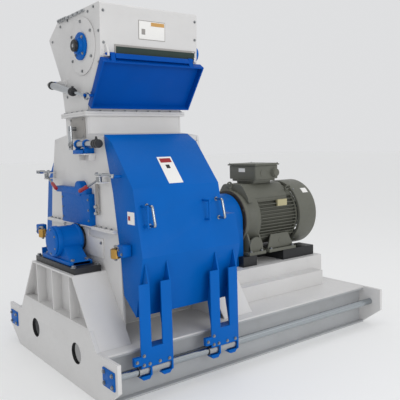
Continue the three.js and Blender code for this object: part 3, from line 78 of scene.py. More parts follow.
# ---- mesh code --------------------------------------------------------------
class Shape:
    """Verts and faces in millimetres, in the row frame."""

    def __init__(self):
        self.verts = []
        self.faces = []

    def add(self, verts, faces):
        base = len(self.verts)
        self.verts += [tuple(v) for v in verts]
        self.faces += [tuple(i + base for i in f) for f in faces]
        return self

    def box(self, x, y, z):
        v = [(a, b, c) for a in x for b in y for c in z]
        f = [(0, 1, 3, 2), (4, 6, 7, 5), (0, 4, 5, 1), (2, 3, 7, 6), (0, 2, 6, 4), (1, 5, 7, 3)]
        return self.add(v, f)

    def prism(self, points, a0, a1, axis="X"):
        place = {
            "X": lambda a, p: (a, p[0], p[1]),
            "Y": lambda a, p: (p[0], a, p[1]),
            "Z": lambda a, p: (p[0], p[1], a),
        }[axis]
        n = len(points)
        v = [place(a, p) for a in (a0, a1) for p in points]
        sides = [(i, (i + 1) % n, n + (i + 1) % n, n + i) for i in range(n)]
        return self.add(v, [tuple(range(n)), tuple(range(2 * n - 1, n - 1, -1)), *sides])

    def turn(self, profile, origin, direction, seg=48):
        """A profile of (distance, radius) turned about a line; radius 0 closes an end."""
        turn = Vector(direction).to_track_quat("Z", "Y").to_matrix()
        verts, rings = [], []
        for t, r in profile:
            if r <= 0:
                rings.append([len(verts)])
                verts.append(Vector(origin) + turn @ Vector((0, 0, t)))
                continue
            rings.append(list(range(len(verts), len(verts) + seg)))
            for k in range(seg):
                a = 2 * math.pi * k / seg
                verts.append(Vector(origin) + turn @ Vector((r * math.cos(a), r * math.sin(a), t)))
        faces = []
        for a, b in zip(rings, rings[1:]):
            for k in range(seg):
                m = (k + 1) % seg
                if len(a) == 1 and len(b) == 1:
                    continue
                if len(a) == 1:
                    faces.append((a[0], b[k], b[m]))
                elif len(b) == 1:
                    faces.append((a[k], a[m], b[0]))
                else:
                    faces.append((a[k], a[m], b[m], b[k]))
        return self.add(verts, faces)

    def rod(self, p, q, r, seg=32, edge=1.5):
        length = (Vector(q) - Vector(p)).length
        e = min(edge, r * 0.4, length * 0.3)
        ends = [(0, 0), (0, r - e), (e, r), (length - e, r), (length, r - e), (length, 0)]
        return self.turn(ends, p, Vector(q) - Vector(p), seg)

    def ring(self, p, q, r_out, r_in, seg=48, edge=1.2):
        length = (Vector(q) - Vector(p)).length
        outline = [
            (0, r_in),
            (0, r_out - edge),
            (edge, r_out),
            (length - edge, r_out),
            (length, r_out - edge),
            (length, r_in),
            (0, r_in),
        ]
        return self.turn(outline, p, Vector(q) - Vector(p), seg)

    def bolt(self, p, direction, r=8.0, washer=True):
        """A hexagon head on its washer, standing on a surface."""
        if washer:
            self.turn(
                [(0, 0), (0, r * 1.35), (r * 0.22, r * 1.35), (r * 0.22, 0)], p, direction, 20
            )
        top = r * 0.22 + r * 0.85
        self.turn(
            [(r * 0.2, 0), (r * 0.2, r), (top - r * 0.12, r), (top, r * 0.86), (top, 0)], p,
            direction, 6
        )
        return self

    def tube(self, path, r, seg=14, close=True):
        points = [Vector(p) for p in path]
        ahead = (points[1] - points[0]).normalized()
        side = ahead.orthogonal().normalized()
        rings = []
        for i, p in enumerate(points):
            a = points[max(i - 1, 0)]
            b = points[min(i + 1, len(points) - 1)]
            d = (b - a).normalized()
            side = (side - d * side.dot(d)).normalized()
            up = d.cross(side)
            rings.append(
                [
                    p + r * (
                        math.cos(
                            2 * math.pi * k / seg
                        ) * side + math.sin(2 * math.pi * k / seg) * up
                    )
                    for k in range(seg)
                ]
            )
        verts = [v for ring in rings for v in ring]
        faces = []
        for i in range(len(rings) - 1):
            for k in range(seg):
                m = (k + 1) % seg
                faces.append((i * seg + k, i * seg + m, (i + 1) * seg + m, (i + 1) * seg + k))
        if close:
            faces.append(tuple(range(seg))[::-1])
            faces.append(tuple(len(verts) - seg + k for k in range(seg)))
        return self.add(verts, faces)

    def make(self, name, material, body, bevel=0.0, angle=32.0, replaces=()):
        mesh = bpy.data.meshes.new(name)
        mesh.from_pydata([[c / 1000 for c in v] for v in self.verts], [], self.faces)
        work = bmesh.new()
        work.from_mesh(mesh)
        bmesh.ops.remove_doubles(work, verts=work.verts, dist=1e-6)
        bmesh.ops.recalc_face_normals(work, faces=work.faces)
        work.to_mesh(mesh)
        work.free()
        mesh.materials.append(material)
        obj = bpy.data.objects.new(name, mesh)
        scene.collection.objects.link(obj)
        smooth(obj, bevel, angle)
        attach(obj, body)
        if replaces:
            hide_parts(*replaces)
        return obj


def smooth(obj, bevel, angle):
    mesh = obj.data
    mesh.polygons.foreach_set("use_smooth", [True] * len(mesh.polygons))
    if bevel:
        mod = obj.modifiers.new("edges", "BEVEL")
        mod.width = bevel / 1000
        mod.segments = 2
        mod.limit_method = "ANGLE"
        mod.angle_limit = math.radians(angle)
        mod.harden_normals = False
    split = obj.modifiers.new("creases", "EDGE_SPLIT")
    split.split_angle = math.radians(angle)


def arc(centre, r, a0, a1, n):
    angles = [math.radians(a0 + (a1 - a0) * i / n) for i in range(n + 1)]
    return [(centre[0] + r * math.cos(a), centre[1] + r * math.sin(a)) for a in angles]


def rounded(y, z, r, n=5):
    """A rectangle with round corners, as an outline."""
    out = []
    for cy, cz, a in ((y[1], z[1], 0), (y[0], z[1], 90), (y[0], z[0], 180), (y[1], z[0], 270)):
        inner = (cy - r if cy == y[1] else cy + r, cz - r if cz == z[1] else cz + r)
        out += arc(inner, r, a, a + 90, n)
    return out


# ---- materials --------------------------------------------------------------
def linear(c):
    c = c / 255
    return c / 12.92 if c <= 0.04045 else ((c + 0.055) / 1.055) ** 2.4


def finish(
    name, rgb, rough, metal=0.0, coat=0.0, shine=0.5, grain=40.0, bump=0.05, vary=0.08, dirt=0.12,
    brush=None
):
    """A painted, bare or moulded surface with wear, uneven gloss and a fine grain."""
    mat = bpy.data.materials.new(name)
    mat.use_nodes = True
    nt = mat.node_tree
    bsdf = nt.nodes["Principled BSDF"]
    base = [linear(c) for c in rgb] + [1.0]
    coord = nt.nodes.new("ShaderNodeTexCoord")
    mapping = nt.nodes.new("ShaderNodeMapping")
    if brush:
        mapping.inputs["Scale"].default_value = brush
    nt.links.new(coord.outputs["Object"], mapping.inputs["Vector"])

    def noise(scale, detail, rough_in, vector=None):
        n = nt.nodes.new("ShaderNodeTexNoise")
        n.inputs["Scale"].default_value = scale
        n.inputs["Detail"].default_value = detail
        n.inputs["Roughness"].default_value = rough_in
        nt.links.new(vector or mapping.outputs["Vector"], n.inputs["Vector"])
        return n

    def ramp(source, low, high, a, b):
        r = nt.nodes.new("ShaderNodeMapRange")
        r.inputs["From Min"].default_value = low
        r.inputs["From Max"].default_value = high
        r.inputs["To Min"].default_value = a
        r.inputs["To Max"].default_value = b
        nt.links.new(source, r.inputs["Value"])
        return r.outputs["Result"]

    broad = noise(3.0, 3.0, 0.55, coord.outputs["Object"])
    fine = noise(grain, 6.0, 0.6)
    tint = nt.nodes.new("ShaderNodeMix")
    tint.data_type = "RGBA"
    tint.inputs["A"].default_value = [c * (1 - vary) for c in base[:3]] + [1.0]
    tint.inputs["B"].default_value = [min(1.0, c * (1 + vary)) for c in base[:3]] + [1.0]
    nt.links.new(ramp(broad.outputs["Fac"], 0.3, 0.7, 0.0, 1.0), tint.inputs["Factor"])
    dust = nt.nodes.new("ShaderNodeMix")
    dust.data_type = "RGBA"
    dust.inputs["B"].default_value = [linear(c) for c in (128, 120, 106)] + [1.0]
    nt.links.new(tint.outputs["Result"], dust.inputs["A"])
    spots = noise(7.0, 8.0, 0.7, coord.outputs["Object"])
    nt.links.new(ramp(spots.outputs["Fac"], 0.55, 0.8, 0.0, dirt), dust.inputs["Factor"])
    nt.links.new(dust.outputs["Result"], bsdf.inputs["Base Color"])
    nt.links.new(
        ramp(fine.outputs["Fac"], 0.3, 0.7, rough * 0.8, min(1.0, rough * 1.25)),
        bsdf.inputs["Roughness"]
    )
    relief = nt.nodes.new("ShaderNodeBump")
    relief.inputs["Strength"].default_value = bump
    relief.inputs["Distance"].default_value = 0.002
    nt.links.new(fine.outputs["Fac"], relief.inputs["Height"])
    nt.links.new(relief.outputs["Normal"], bsdf.inputs["Normal"])
    bsdf.inputs["Metallic"].default_value = metal
    bsdf.inputs["Coat Weight"].default_value = coat
    bsdf.inputs["Specular IOR Level"].default_value = shine
    bsdf.inputs["Coat Roughness"].default_value = 0.12
    return mat


WHITE = finish(
    "white paint", (208, 207, 206), 0.4, coat=0.05, shine=0.4, grain=60, bump=0.04, vary=0.03,
    dirt=0.08
)
BLUE = finish(
    "blue paint", (0, 92, 176), 0.42, coat=0.0, shine=0.1, grain=70, bump=0.04, vary=0.05, dirt=0.02
)
NAVY = finish(
    "deep blue paint", (0, 74, 160), 0.4, shine=0.08, grain=70, bump=0.04, vary=0.06, dirt=0.02
)
BLACK = finish("black paint", (26, 27, 30), 0.45, grain=50, bump=0.06, vary=0.2, dirt=0.1)
UMBER = finish("dark rim paint", (58, 52, 46), 0.5, grain=50, bump=0.06, vary=0.1, dirt=0.1)
GREY = finish("grey paint", (150, 147, 143), 0.45, grain=50, bump=0.05, vary=0.06, dirt=0.15)
MOTOR = finish(
    "motor paint", (98, 99, 90), 0.46, coat=0.0, shine=0.35, grain=55, bump=0.09, vary=0.07,
    dirt=0.12
)
STEEL = finish(
    "bare steel", (172, 175, 178), 0.3, metal=1.0, grain=40, bump=0.03, vary=0.08, dirt=0.06,
    brush=(1, 8, 8)
)
ZINC = finish(
    "zinc plate", (150, 152, 154), 0.32, metal=1.0, grain=80, bump=0.04, vary=0.1, dirt=0.05
)
CHROME = finish(
    "chromed rail", (168, 174, 178), 0.22, metal=1.0, grain=30, bump=0.01, vary=0.03, dirt=0.02,
    brush=(1, 10, 10)
)
BRASS = finish("brass", (190, 150, 82), 0.3, metal=1.0, grain=60, bump=0.04, vary=0.1, dirt=0.05)
# Grey darker than the white paint, for the base side channels (also used on the lid bar): painted
# shade standing in for the shade on the channel webs.
SHADE = finish(
    "channel grey with painted shade", (168, 170, 172), 0.5, shine=0.3, grain=60, bump=0.04, vary=0.05, dirt=0.2
)
RED = finish("red grip", (150, 12, 26), 0.38, grain=70, bump=0.05, vary=0.08, dirt=0.04)
GLASS = finish(
    "dark window", (46, 60, 56), 0.5, coat=0.0, shine=0.2, grain=20, bump=0.01, vary=0.15, dirt=0.05
)
LABEL = finish("blank label", (232, 231, 228), 0.4, grain=60, bump=0.02, vary=0.02, dirt=0.05)
AMBER = finish("amber ink", (196, 150, 84), 0.45, grain=60, bump=0.02, vary=0.06, dirt=0.08)
PLATE = finish(
    "rating plate", (186, 178, 140), 0.35, metal=0.4, grain=60, bump=0.03, vary=0.05, dirt=0.1
)

PAINT_OF = {
    "white_paint": WHITE,
    "blue_paint": BLUE,
    "black_paint": BLACK,
    "grey_paint": GREY,
    "motor_paint": MOTOR,
    "bare_steel": STEEL,
    "rail_chrome": CHROME,
    "grip_red": RED,
    "window_green": GLASS,
}


# The base side channels take the SHADE grey: painted shade on their webs.
OWN_PAINT = {
    "feeder_pan": NAVY, "shaft_cover": WHITE, "base_side_front": SHADE, "base_side_rear": SHADE
}


def dress_cad():
    """Paint on every CAD node, with its sheet edges rounded over."""
    for part in frame["record"]["subparts"]:
        obj = NODES[part["node"]]
        mesh = obj.data
        mesh.materials.clear()
        mesh.materials.append(OWN_PAINT.get(part["node"], PAINT_OF[part["material_slot"]]))
        mesh.polygons.foreach_set("material_index", [0] * len(mesh.polygons))
        if "custom_normal" in mesh.attributes:
            mesh.attributes.remove(mesh.attributes["custom_normal"])
        weld = obj.modifiers.new("weld", "WELD")
        weld.merge_threshold = 1e-5
        smooth(obj, 1.6, 23.0)


dress_cad()


# ---- base -------------------------------------------------------------------
def rail_caps():
    for end, x, out in (("near", -END_X, -1), ("far", END_X, 1)):
        for side, sy in (("front", -1), ("rear", 1)):
            s = Shape()
            y = sorted((sy * 720, sy * 862))
            s.prism(rounded(y, (140, 252), 6), *sorted((x + out * 0.3, x + out * 8)))
            s.make(f"rail_cap_{end}_{side}", BLUE, "frame", bevel=1.2)
            b = Shape()
            for dy in (22, 120):
                for z in (162, 230):
                    b.bolt((x + out * 9, sy * (720 + dy), z), (out, 0, 0), 10)
            b.make(f"rail_cap_bolts_{end}_{side}", ZINC, "frame")


# Black rings inside the lifting holes of both end plates: painted shade, darkening the hole walls
# where shade falls.
def hole_shade_rings():
    s = Shape()
    for x, out in ((-END_X, 1), (END_X, -1)):
        for y in (-346, 346):
            s.ring((x + out * 1, y, 222), (x + out * 24, y, 222), 69.8, 68.4, 64, 0.3)
    s.make("hole_shade_rings", BLACK, "frame")


def rails():
    for side, y in (("front", -RAIL_Y), ("rear", RAIL_Y)):
        s = Shape()
        s.rod((-1199.5, y, RAIL_Z), (1199.5, y, RAIL_Z), RAIL_R, 64)
        s.make(f"rail_{side}", CHROME, "frame", replaces=[f"guide_rail_{side}"])


def base_trim():
    s = Shape()
    for sy in (-1, 1):
        for x in (-1187, -1023):
            s.bolt((x, sy * 292, 761), (0, 0, 1), 15)
    s.make("bearing_bolts_near", ZINC, "frame")
    s = Shape()
    for sy in (-1, 1):
        for x in (-195, -31):
            s.bolt((x, sy * 292, 761), (0, 0, 1), 15)
    s.make("bearing_bolts_far", ZINC, "frame")


# ---- casing -----------------------------------------------------------------
def casing_trim():
    s = Shape()
    for sy in (-1, 1):
        for k in range(4):
            s.bolt((-1004, sy * (262 + 70 * k), 1005), (0, 0, 1), 9)
    for sy in (-1, 1):
        for k in range(5):
            s.bolt((-216, sy * (200 + 68 * k), 1005), (0, 0, 1), 9)
    s.make("split_bolts", ZINC, "frame")
    s = Shape()
    for sy in (-1, 1):
        for k in range(9):
            x = -985 + 94 * k
            s.bolt((x, sy * 184, 1765.4), (0, 0, 1), 7)
    for x in (-996, -222):
        for k in range(4):
            s.bolt((x, -120 + 80 * k, 1765.4), (0, 0, 1), 7)
    s.make("neck_bolts", ZINC, "frame")
    s = Shape()
    for y in (-205, 205):
        for z in (1040, 1110, 1180):
            s.bolt((-1024.3, y, z), (-1, 0, 0), 6)
    for y in (-305, 305):
        s.bolt((-992.3, y, 900), (-1, 0, 0), 8)
    for y, z in ((-125, 1602), (65, 1602), (-125, 1714), (65, 1714)):
        s.bolt((-994.3, y, z), (-1, 0, 0), 5)
    s.make("cover_bolts", ZINC, "frame")
    s = Shape()
    s.prism(rounded((-304, -280), (1084, 1290), 8), -1006, -994)
    s.box((-998, NEAR_FACE), (-300, -284), (1110, 1126))
    s.box((-998, NEAR_FACE), (-300, -284), (1262, 1278))
    s.make("stay_bar", GREY, "frame", bevel=1.5)
    s = Shape()
    for z in (1096, 1140):
        s.turn(
            [(0, 0), (0, 6), (4, 6), (4, 12), (12, 13), (17, 10), (18, 0)], (-1006, -292, z),
            (-1, 0, 0), 24
        )
    s.make("stay_knobs", STEEL, "frame")
    for side, sy in (("front", -1), ("rear", 1)):
        s = Shape()
        y = sorted((sy * 622, sy * 694))
        s.prism(rounded(y, (862, 936), 10), -1048, -990)
        s.make(f"roller_bracket_{side}", BLUE, f"door_{side}_body", bevel=4)
        s = Shape()
        s.turn(
            [(0, 0), (0, 20), (6, 31), (60, 31), (66, 20), (66, 0)], (-1040, sy * 585, 842),
            (0, 0, 1), 40
        )
        s.make(f"roller_{side}", BRASS, f"door_{side}_body")
        s = Shape()
        s.rod((-1040, sy * 585, 830), (-1040, sy * 585, 926), 9, 20)
        s.rod((-1040, sy * 585, 920), (-1040, sy * 640, 920), 9, 20)
        s.bolt((-1048, sy * 640, 905), (-1, 0, 0), 7)
        s.bolt((-1048, sy * 676, 882), (-1, 0, 0), 7)
        s.make(f"roller_pin_{side}", ZINC, f"door_{side}_body")


# ---- bearings ---------------------------------------------------------------
def bearings():
    for label, x0, out in (("near", -1010, -1), ("far", -208, 1)):
        s = Shape()
        d = (out, 0, 0)
        o = (x0, 0, SHAFT_Z)
        drum = [
            (0, 47),
            (0, 88),
            (10, 92),
            (14, 104),
            (30, 104),
            (34, 98),
            (152, 98),
            (156, 104),
            (186, 104),
            (190, 100),
            (190, 47),
            (0, 47),
        ]
        s.turn(drum, o, d, 72)
        xa, xb = sorted((x0 + out * 12, x0 + out * 178))
        saddle = [(240, 762), (240, 785), (196, 792), (150, 826), (96, 870), (60, 884)]
        s.prism(saddle + [(-y, z) for y, z in reversed(saddle)], xa + 20, xb - 20)
        foot = rounded((-240, 240), (xa, xb), 20)
        s.prism([(b, a) for a, b in foot], 761.8, 786, "Z")
        s.make(
            f"bearing_{label}", BLUE, "frame", bevel=3, replaces=[f"bearing_housing_{label}"],
        )
        b = Shape()
        for y in (-206, 206):
            for x in (xa + 34, xb - 34):
                b.bolt((x, y, 786), (0, 0, 1), 13)
        b.turn(
            [(0, 0), (0, 6), (14, 6), (14, 9), (20, 9), (20, 4), (26, 4), (26, 0)],
            ((xa + xb) / 2, 0, 997), (0, 0, 1), 16
        )
        b.make(f"bearing_fasteners_{label}", ZINC, "frame")
    s = Shape()
    s.turn(
        [(0, 0), (0, 96), (3, 99), (10, 99), (13, 92), (15.7, 60), (15.7, 0)],
        (-1200.3, 0, SHAFT_Z), (-1, 0, 0), 72
    )
    s.make("bearing_end_cap", BLUE, "frame", replaces=["bearing_cap"])
    s = Shape()
    for k in range(6):
        a = math.radians(30 + 60 * k)
        s.bolt((-1213, 80 * math.cos(a), SHAFT_Z + 80 * math.sin(a)), (-1, 0, 0), 6)
    s.make("end_cap_bolts", ZINC, "frame")


# ---- small cylinders --------------------------------------------------------
def flap_actuator():
    x, z = CYLINDER_X, 1549
    s = Shape()
    s.ring((x, -352, z), (x, -102, z), 21, 10.5, 48)
    s.ring((x, -120, z), (x, -101, z), 26, 10.5, 48)
    s.make("flap_tube", STEEL, "frame", replaces=["flap_cylinder"])
    s = Shape()
    ribbed = [
        (0, 0), (0, 22), (4, 27), (20, 27), (23, 23), (30, 23), (33, 27), (50, 27), (53, 23),
        (60, 23), (63, 27), (71, 27), (71, 0)
    ]
    s.turn(ribbed, (x, -423, z), (0, 1, 0), 48)
    s.turn(
        [(0, 0), (0, 10), (12, 10), (12, 7), (24, 7), (26, 5), (26, 0)], (x, -384, z + 20),
        (0, 0, 1), 24
    )
    s.make("flap_tube_head", BLACK, "frame")
    s = Shape()
    for y in ((-250, -234), (-124, -108)):
        s.box((x - 20, NEAR_FACE), y, (1487, 1522))
        s.turn([(0, 21.5), (0, 29), (16, 29), (16, 21.5), (0, 21.5)], (x, y[0], z), (0, 1, 0), 40)
    s.box((x - 36, x - 29), (-250, -108), (1487, 1512))
    s.box((x - 36, x - 18), (-250, -108), (1487, 1494))
    s.make("flap_bracket", BLUE, "frame", bevel=1.5)
    s = Shape()
    s.box((x - 30, NEAR_FACE), (-268, -100), (1479, 1487))
    s.prism([(-268, 1479), (-256, 1479), (-256, 1440)], -1030, NEAR_FACE)
    s.prism([(-112, 1479), (-100, 1479), (-112, 1440)], -1030, NEAR_FACE)
    s.make("flap_shelf", WHITE, "frame", bevel=1)
    s = Shape()
    s.rod((x, -215, z), (x, -36, z), 9, 32)
    s.make("flap_piston_rod", CHROME, "flap_piston")
    s = Shape()
    s.box((x - 15, x + 15), (-42, -34), (z - 10, z + 10))
    for xx in ((x - 15, x - 7), (x + 7, x + 15)):
        s.box(xx, (-34, 12), (z - 10, z + 10))
    s.rod((x - 17, 0, z), (x + 17, 0, z), 8, 24)
    s.make("flap_fork", ZINC, "flap_piston", bevel=1.5, replaces=["flap_rod"])


def pan_actuator():
    """Drawn along the line from the rear pivot to the pin of the pan."""
    x = CYLINDER_X
    pivot = Vector((x, 301, 1981))
    a = math.radians(12.407)
    ahead = Vector((0, -math.cos(a), -math.sin(a)))
    at = lambda t: pivot + ahead * t
    s = Shape()
    s.ring(at(40), at(376), 24, 13, 56)
    s.make("pan_tube", STEEL, "pan_actuator", replaces=["pan_cylinder"])
    s = Shape()
    s.ring(at(366), at(376), 29, 10.6, 56, 2)
    s.ring(at(378), at(392), 28, 10.6, 56, 2)
    s.ring(at(374), at(405.5), 25, 10.6, 56, 2)
    s.turn([(0, 0), (0, 24), (4, 29), (22, 29), (26, 24), (26, 0)], at(26), ahead, 56)
    s.rod(at(384) + Vector((0, 0, 22)), at(384) + Vector((0, 0, 38)), 8, 20)
    s.make("pan_tube_heads", BLACK, "pan_actuator")
    s = Shape()
    s.ring((x - 10, pivot.y, pivot.z), (x + 10, pivot.y, pivot.z), 18, 11, 40)
    s.box((x - 8, x + 8), (pivot.y - 34, pivot.y - 14), (pivot.z - 16, pivot.z + 8))
    s.make("pan_tube_eye", ZINC, "pan_actuator", bevel=1)
    s = Shape()
    s.rod(at(300), at(566), 10, 32)
    s.ring((x - 9, at(588.6).y, at(588.6).z), (x + 9, at(588.6).y, at(588.6).z), 26, 18.2, 40)
    s.rod(at(540), at(566), 13, 24)
    s.make("pan_piston_rod", CHROME, "pan_piston", replaces=["pan_rod"])
    s = Shape()
    s.prism([(285, 1960), (330, 1960), (330, 2004), (285, 2004)], -1012, -985)
    s.make("pan_tube_bracket", BLUE, "frame", bevel=2)


# ---- feeder -----------------------------------------------------------------
FEED = (-152, 2187)


def feeder():
    y, z = FEED
    s = Shape()
    cover = [(0, 26), (0, 182), (2, 184), (8, 184), (10, 180), (10, 26), (0, 26)]
    s.turn(cover, (NEAR_FACE, y, z), (-1, 0, 0), 96)
    s.make("feeder_end_cover", WHITE, "frame", replaces=["feeder_cover"])
    s = Shape()
    for k in range(6):
        a = math.radians(30 + 60 * k)
        s.bolt((-994.6, y + 160 * math.cos(a), z + 160 * math.sin(a)), (-1, 0, 0), 8)
    s.make("feeder_cover_bolts", ZINC, "frame")
    s = Shape()
    body = [
        (0, 22), (0, 86), (3, 89), (13, 89), (16, 84), (17, 58), (22, 52), (33, 50), (36, 46),
        (36, 22), (0, 22)
    ]
    s.turn(body, (-995, y, z), (-1, 0, 0), 72)
    s.make("feed_flange_bearing", BLUE, "frame", replaces=["feed_bearing"])
    s = Shape()
    for k in range(4):
        a = math.radians(45 + 90 * k)
        s.bolt((-1011, y + 73 * math.cos(a), z + 73 * math.sin(a)), (-1, 0, 0), 8)
    s.make("feed_bearing_bolts", ZINC, "frame")
    s = Shape()
    s.turn(
        [(0, 0), (0, 34), (3, 38), (20, 38), (23, 34), (23, 12), (19, 10), (19, 0)], (-1033, y, z),
        (-1, 0, 0), 48
    )
    s.bolt((-1045, y, z + 36), (0, 0, 1), 5, washer=False)
    s.make("feed_shaft_end", BLACK, "roll")
    s = Shape()
    s.prism([(-430, 2112), (-412, 2112), (-408, 2090), (-414, 2078), (-441, 2080)], -898, -330)
    s.make("pan_hinge_cover", NAVY, "pan", bevel=1.5)
    front_plate((-706, -500), (2218, 2340), 0.4, 1.4, "feeder_label_rim", GREY)
    front_plate((-702, -504), (2222, 2336), 1.5, 2.4, "feeder_label", LABEL)
    front_plate((-612, -508), (2308, 2332), 2.5, 3.2, "feeder_label_band", AMBER)
    front_plate((-684, -656), (2250, 2286), 2.5, 3.2, "feeder_label_mark", GREY)
    front_plate((-884, -250), (2160, 2172), 0.4, 6, "window_top_bar", GREY)
    front_plate((-884, -876), (2098, 2160), 0.4, 6, "window_near_bar", GREY)
    front_plate((-876, -258), (2094, 2107.4), 0.4, 3, "window_low_bar", GLASS)
    s = Shape()
    for yy, zz in (
        (-250, 2392), (-330, 2406), (60, 2392), (184, 2372), (330, 2290), (-384, 2250),
        (-372, 2060), (-250, 1880), (120, 1880)
    ):
        s.bolt((-984.2, yy, zz), (-1, 0, 0), 7)
    for xx, zz in ((-960, 2372), (-960, 2178), (-252, 2372), (-252, 2250)):
        s.bolt((xx, front_face(zz) - 0.3, zz), (0, -1, 0), 7)
    s.make("feeder_bolts", ZINC, "frame")
    s = Shape()
    s.prism([(208, 2400), (208, 2416), (-205, 2416), (-205, 2402)], -996, NEAR_FACE)
    s.prism([(60, 2402), (60, 2420), (190, 2420), (190, 2402)], -1002, -992)
    s.make("lid_bar", SHADE, "frame", bevel=1.5)
    s = Shape()
    for yy in (-190, -120, -50, 20, 76, 110, 144, 178):
        s.bolt((-996 if yy < 60 else -1002, yy, 2409), (-1, 0, 0), 7)
    s.make("lid_bar_bolts", ZINC, "frame")
    s = Shape()
    gx = -233.5
    s.box((gx, gx + 20), (y - 84, y + 84), (z - 96, z + 96))
    s.box((gx + 20, gx + 90), (y - 70, y + 70), (z - 80, z + 80))
    s.turn(
        [(0, 0), (0, 60), (6, 62), (66, 62), (74, 52), (76, 0)], (gx + 90, y, z + 10), (1, 0, 0), 48
    )
    s.make("gearmotor", BLUE, "frame", bevel=5, replaces=["feed_gearmotor"])


def front_face(z):
    """How far forward the front of the feeder stands at a height."""
    return -394 - (z - 2100) * (411 - 394) / (2413 - 2100)


def front_plate(x, z, lift, top, name, paint):
    a, b = (front_face(h) for h in z)
    s = Shape()
    s.prism([(a - lift, z[0]), (b - lift, z[1]), (b - top, z[1]), (a - top, z[0])], *x)
    s.make(name, paint, "frame", bevel=0.4)


# ---- doors ------------------------------------------------------------------
def doors():
    for side, sy, x0 in (("front", -1, -986), ("rear", 1, -911)):
        body = f"door_{side}_body"
        m = lambda p, q=sy: (p[0], q * p[1], p[2])
        s = Shape()
        for hx in (x0 + 78, -378):
            high, low = 817, 841
            path = [(hx, 762, 1170), (hx, 796, 1170)]
            path += [
                (hx, high - 12 + 12 * math.sin(t), 1158 + 12 * math.cos(t))
                for t in (0, 0.5, 1.0, 1.5)
            ]
            path += [
                (hx, low - 12 + 12 * math.cos(t), 1062 - 12 * math.sin(t))
                for t in (0.07, 0.5, 1.0, 1.5)
            ]
            path += [(hx, 812, 1050), (hx, 782, 1050)]
            s.tube([m(p) for p in path], 8.5, 16)
            for zz, yy in ((1170, 753), (1050, 778)):
                s.ring(m((hx, yy - 6, zz)), m((hx, yy + 5, zz)), 13, 8, 24)
        s.make(f"handles_{side}", CHROME, body)
        legs = (x0 - 47, x0 - 47 + 527 - (x0 + 986))
        s = Shape()
        for lx in legs:
            for dx in (16, 56, 128, 196):
                s.bolt(m((lx + dx, 836, 236)), (0, sy, 0), 8)
            s.bolt(m((lx + 18, 836, 292)), (0, sy, 0), 8)
            s.bolt(m((lx - 30, 835, 262)), (0, sy, 0), 8)
        s.make(f"leg_bolts_{side}", ZINC, body)
        s = Shape()
        for lx in legs:
            for fx in (lx + 6, lx + 152):
                low = [(fx, 150), (fx + 66, 150), (fx + 56, 136), (fx + 12, 136)]
                s.prism(low, *sorted((sy * 822, sy * 770)), "Y")
        s.make(f"leg_feet_{side}", BLUE, body, bevel=2)
        s = Shape()
        for lx in legs:
            s.ring(
                (lx - 6, sy * RAIL_Y, RAIL_Z), (lx + 231, sy * RAIL_Y, RAIL_Z), 33, RAIL_R + 0.4, 56
            )
        s.make(f"bushes_{side}", STEEL, f"trolley_{side}")
    s = Shape()
    panel(s, -716, -608, 1290, 1452, 1.5)
    s.make("door_label", LABEL, "door_front_body")
    s = Shape()
    panel(s, -704, -620, 1416, 1442, 2.5)
    s.make("door_label_band", RED, "door_front_body")
    s = Shape()
    panel(s, -678, -650, 1380, 1402, 2.5)
    s.make("door_label_mark", BLACK, "door_front_body")
    s = Shape()
    s.box((-988.0, -986.3), (-738, -658), (1058, 1134))
    s.make("side_label", LABEL, "door_front_body")
    s = Shape()
    s.box((-989.2, -988.2), (-690, -666), (1082, 1108))
    s.make("side_label_mark", RED, "door_front_body")


def door_face(z):
    """How far out the upper face of the front door is at a height."""
    brow, fold = (497, 1550), (730, 1274)
    t = (brow[1] - z) / (brow[1] - fold[1])
    return -(brow[0] + (fold[0] - brow[0]) * t)


def panel(s, x0, x1, z0, z1, lift):
    n = (0.764, 0.645)
    corners = [
        (door_face(z) - n[0] * d, z + n[1] * d) for z,
        d in ((z0, 0.3), (z1, 0.3), (z1, lift), (z0, lift))
    ]
    s.prism(corners, x0, x1)


# ---- latches ----------------------------------------------------------------
def latches():
    for side, sy in (("front", -1), ("rear", 1)):
        drop = math.atan2(85, 240)
        off = math.radians(7)
        pivot = Vector((-1046, sy * 425, 1325))
        inward = Vector(
            (-math.sin(off) * math.cos(drop), -sy * math.cos(off) * math.cos(drop), -math.sin(drop))
        )
        at = lambda t: pivot + inward * t
        s = Shape()
        s.rod(at(14), at(150), 7, 20)
        s.turn(
            [(0, 8), (0, 17), (33, 17), (33, 8), (0, 8)], pivot - Vector((0, 0, 16.5)), (0, 0, 1),
            28
        )
        s.rod((-1046, sy * 391, 1304), (-1046, sy * 391, 1368), 6, 20)
        s.rod((-1046, sy * 391, 1312), (-1046, sy * 425, 1325), 7, 16)
        s.make(f"latch_arm_{side}", ZINC, f"latch_{side}")
        s = Shape()
        grip = [(0, 0), (0, 8), (4, 11), (20, 13.5), (60, 12), (96, 14), (108, 11), (112, 0)]
        s.turn(grip, at(142), inward, 28)
        s.make(
            f"latch_grip_{side}", RED, f"latch_{side}", replaces=[f"latch_lever_{side}"],
        )
        s = Shape()
        for z in (1363, 1350):
            s.turn([(0, 0), (0, 10), (5, 10), (5, 0)], (-1046, sy * 391, z), (0, 0, 1), 6)
        s.turn([(0, 0), (0, 11), (6, 11), (6, 0)], (-1046, sy * 425, 1350), (0, 0, 1), 6)
        s.rod((-1046, sy * 545, 1358), (-1046, sy * 470, 1358), 8, 20)
        s.make(f"latch_nuts_{side}", ZINC, f"claw_{side}")


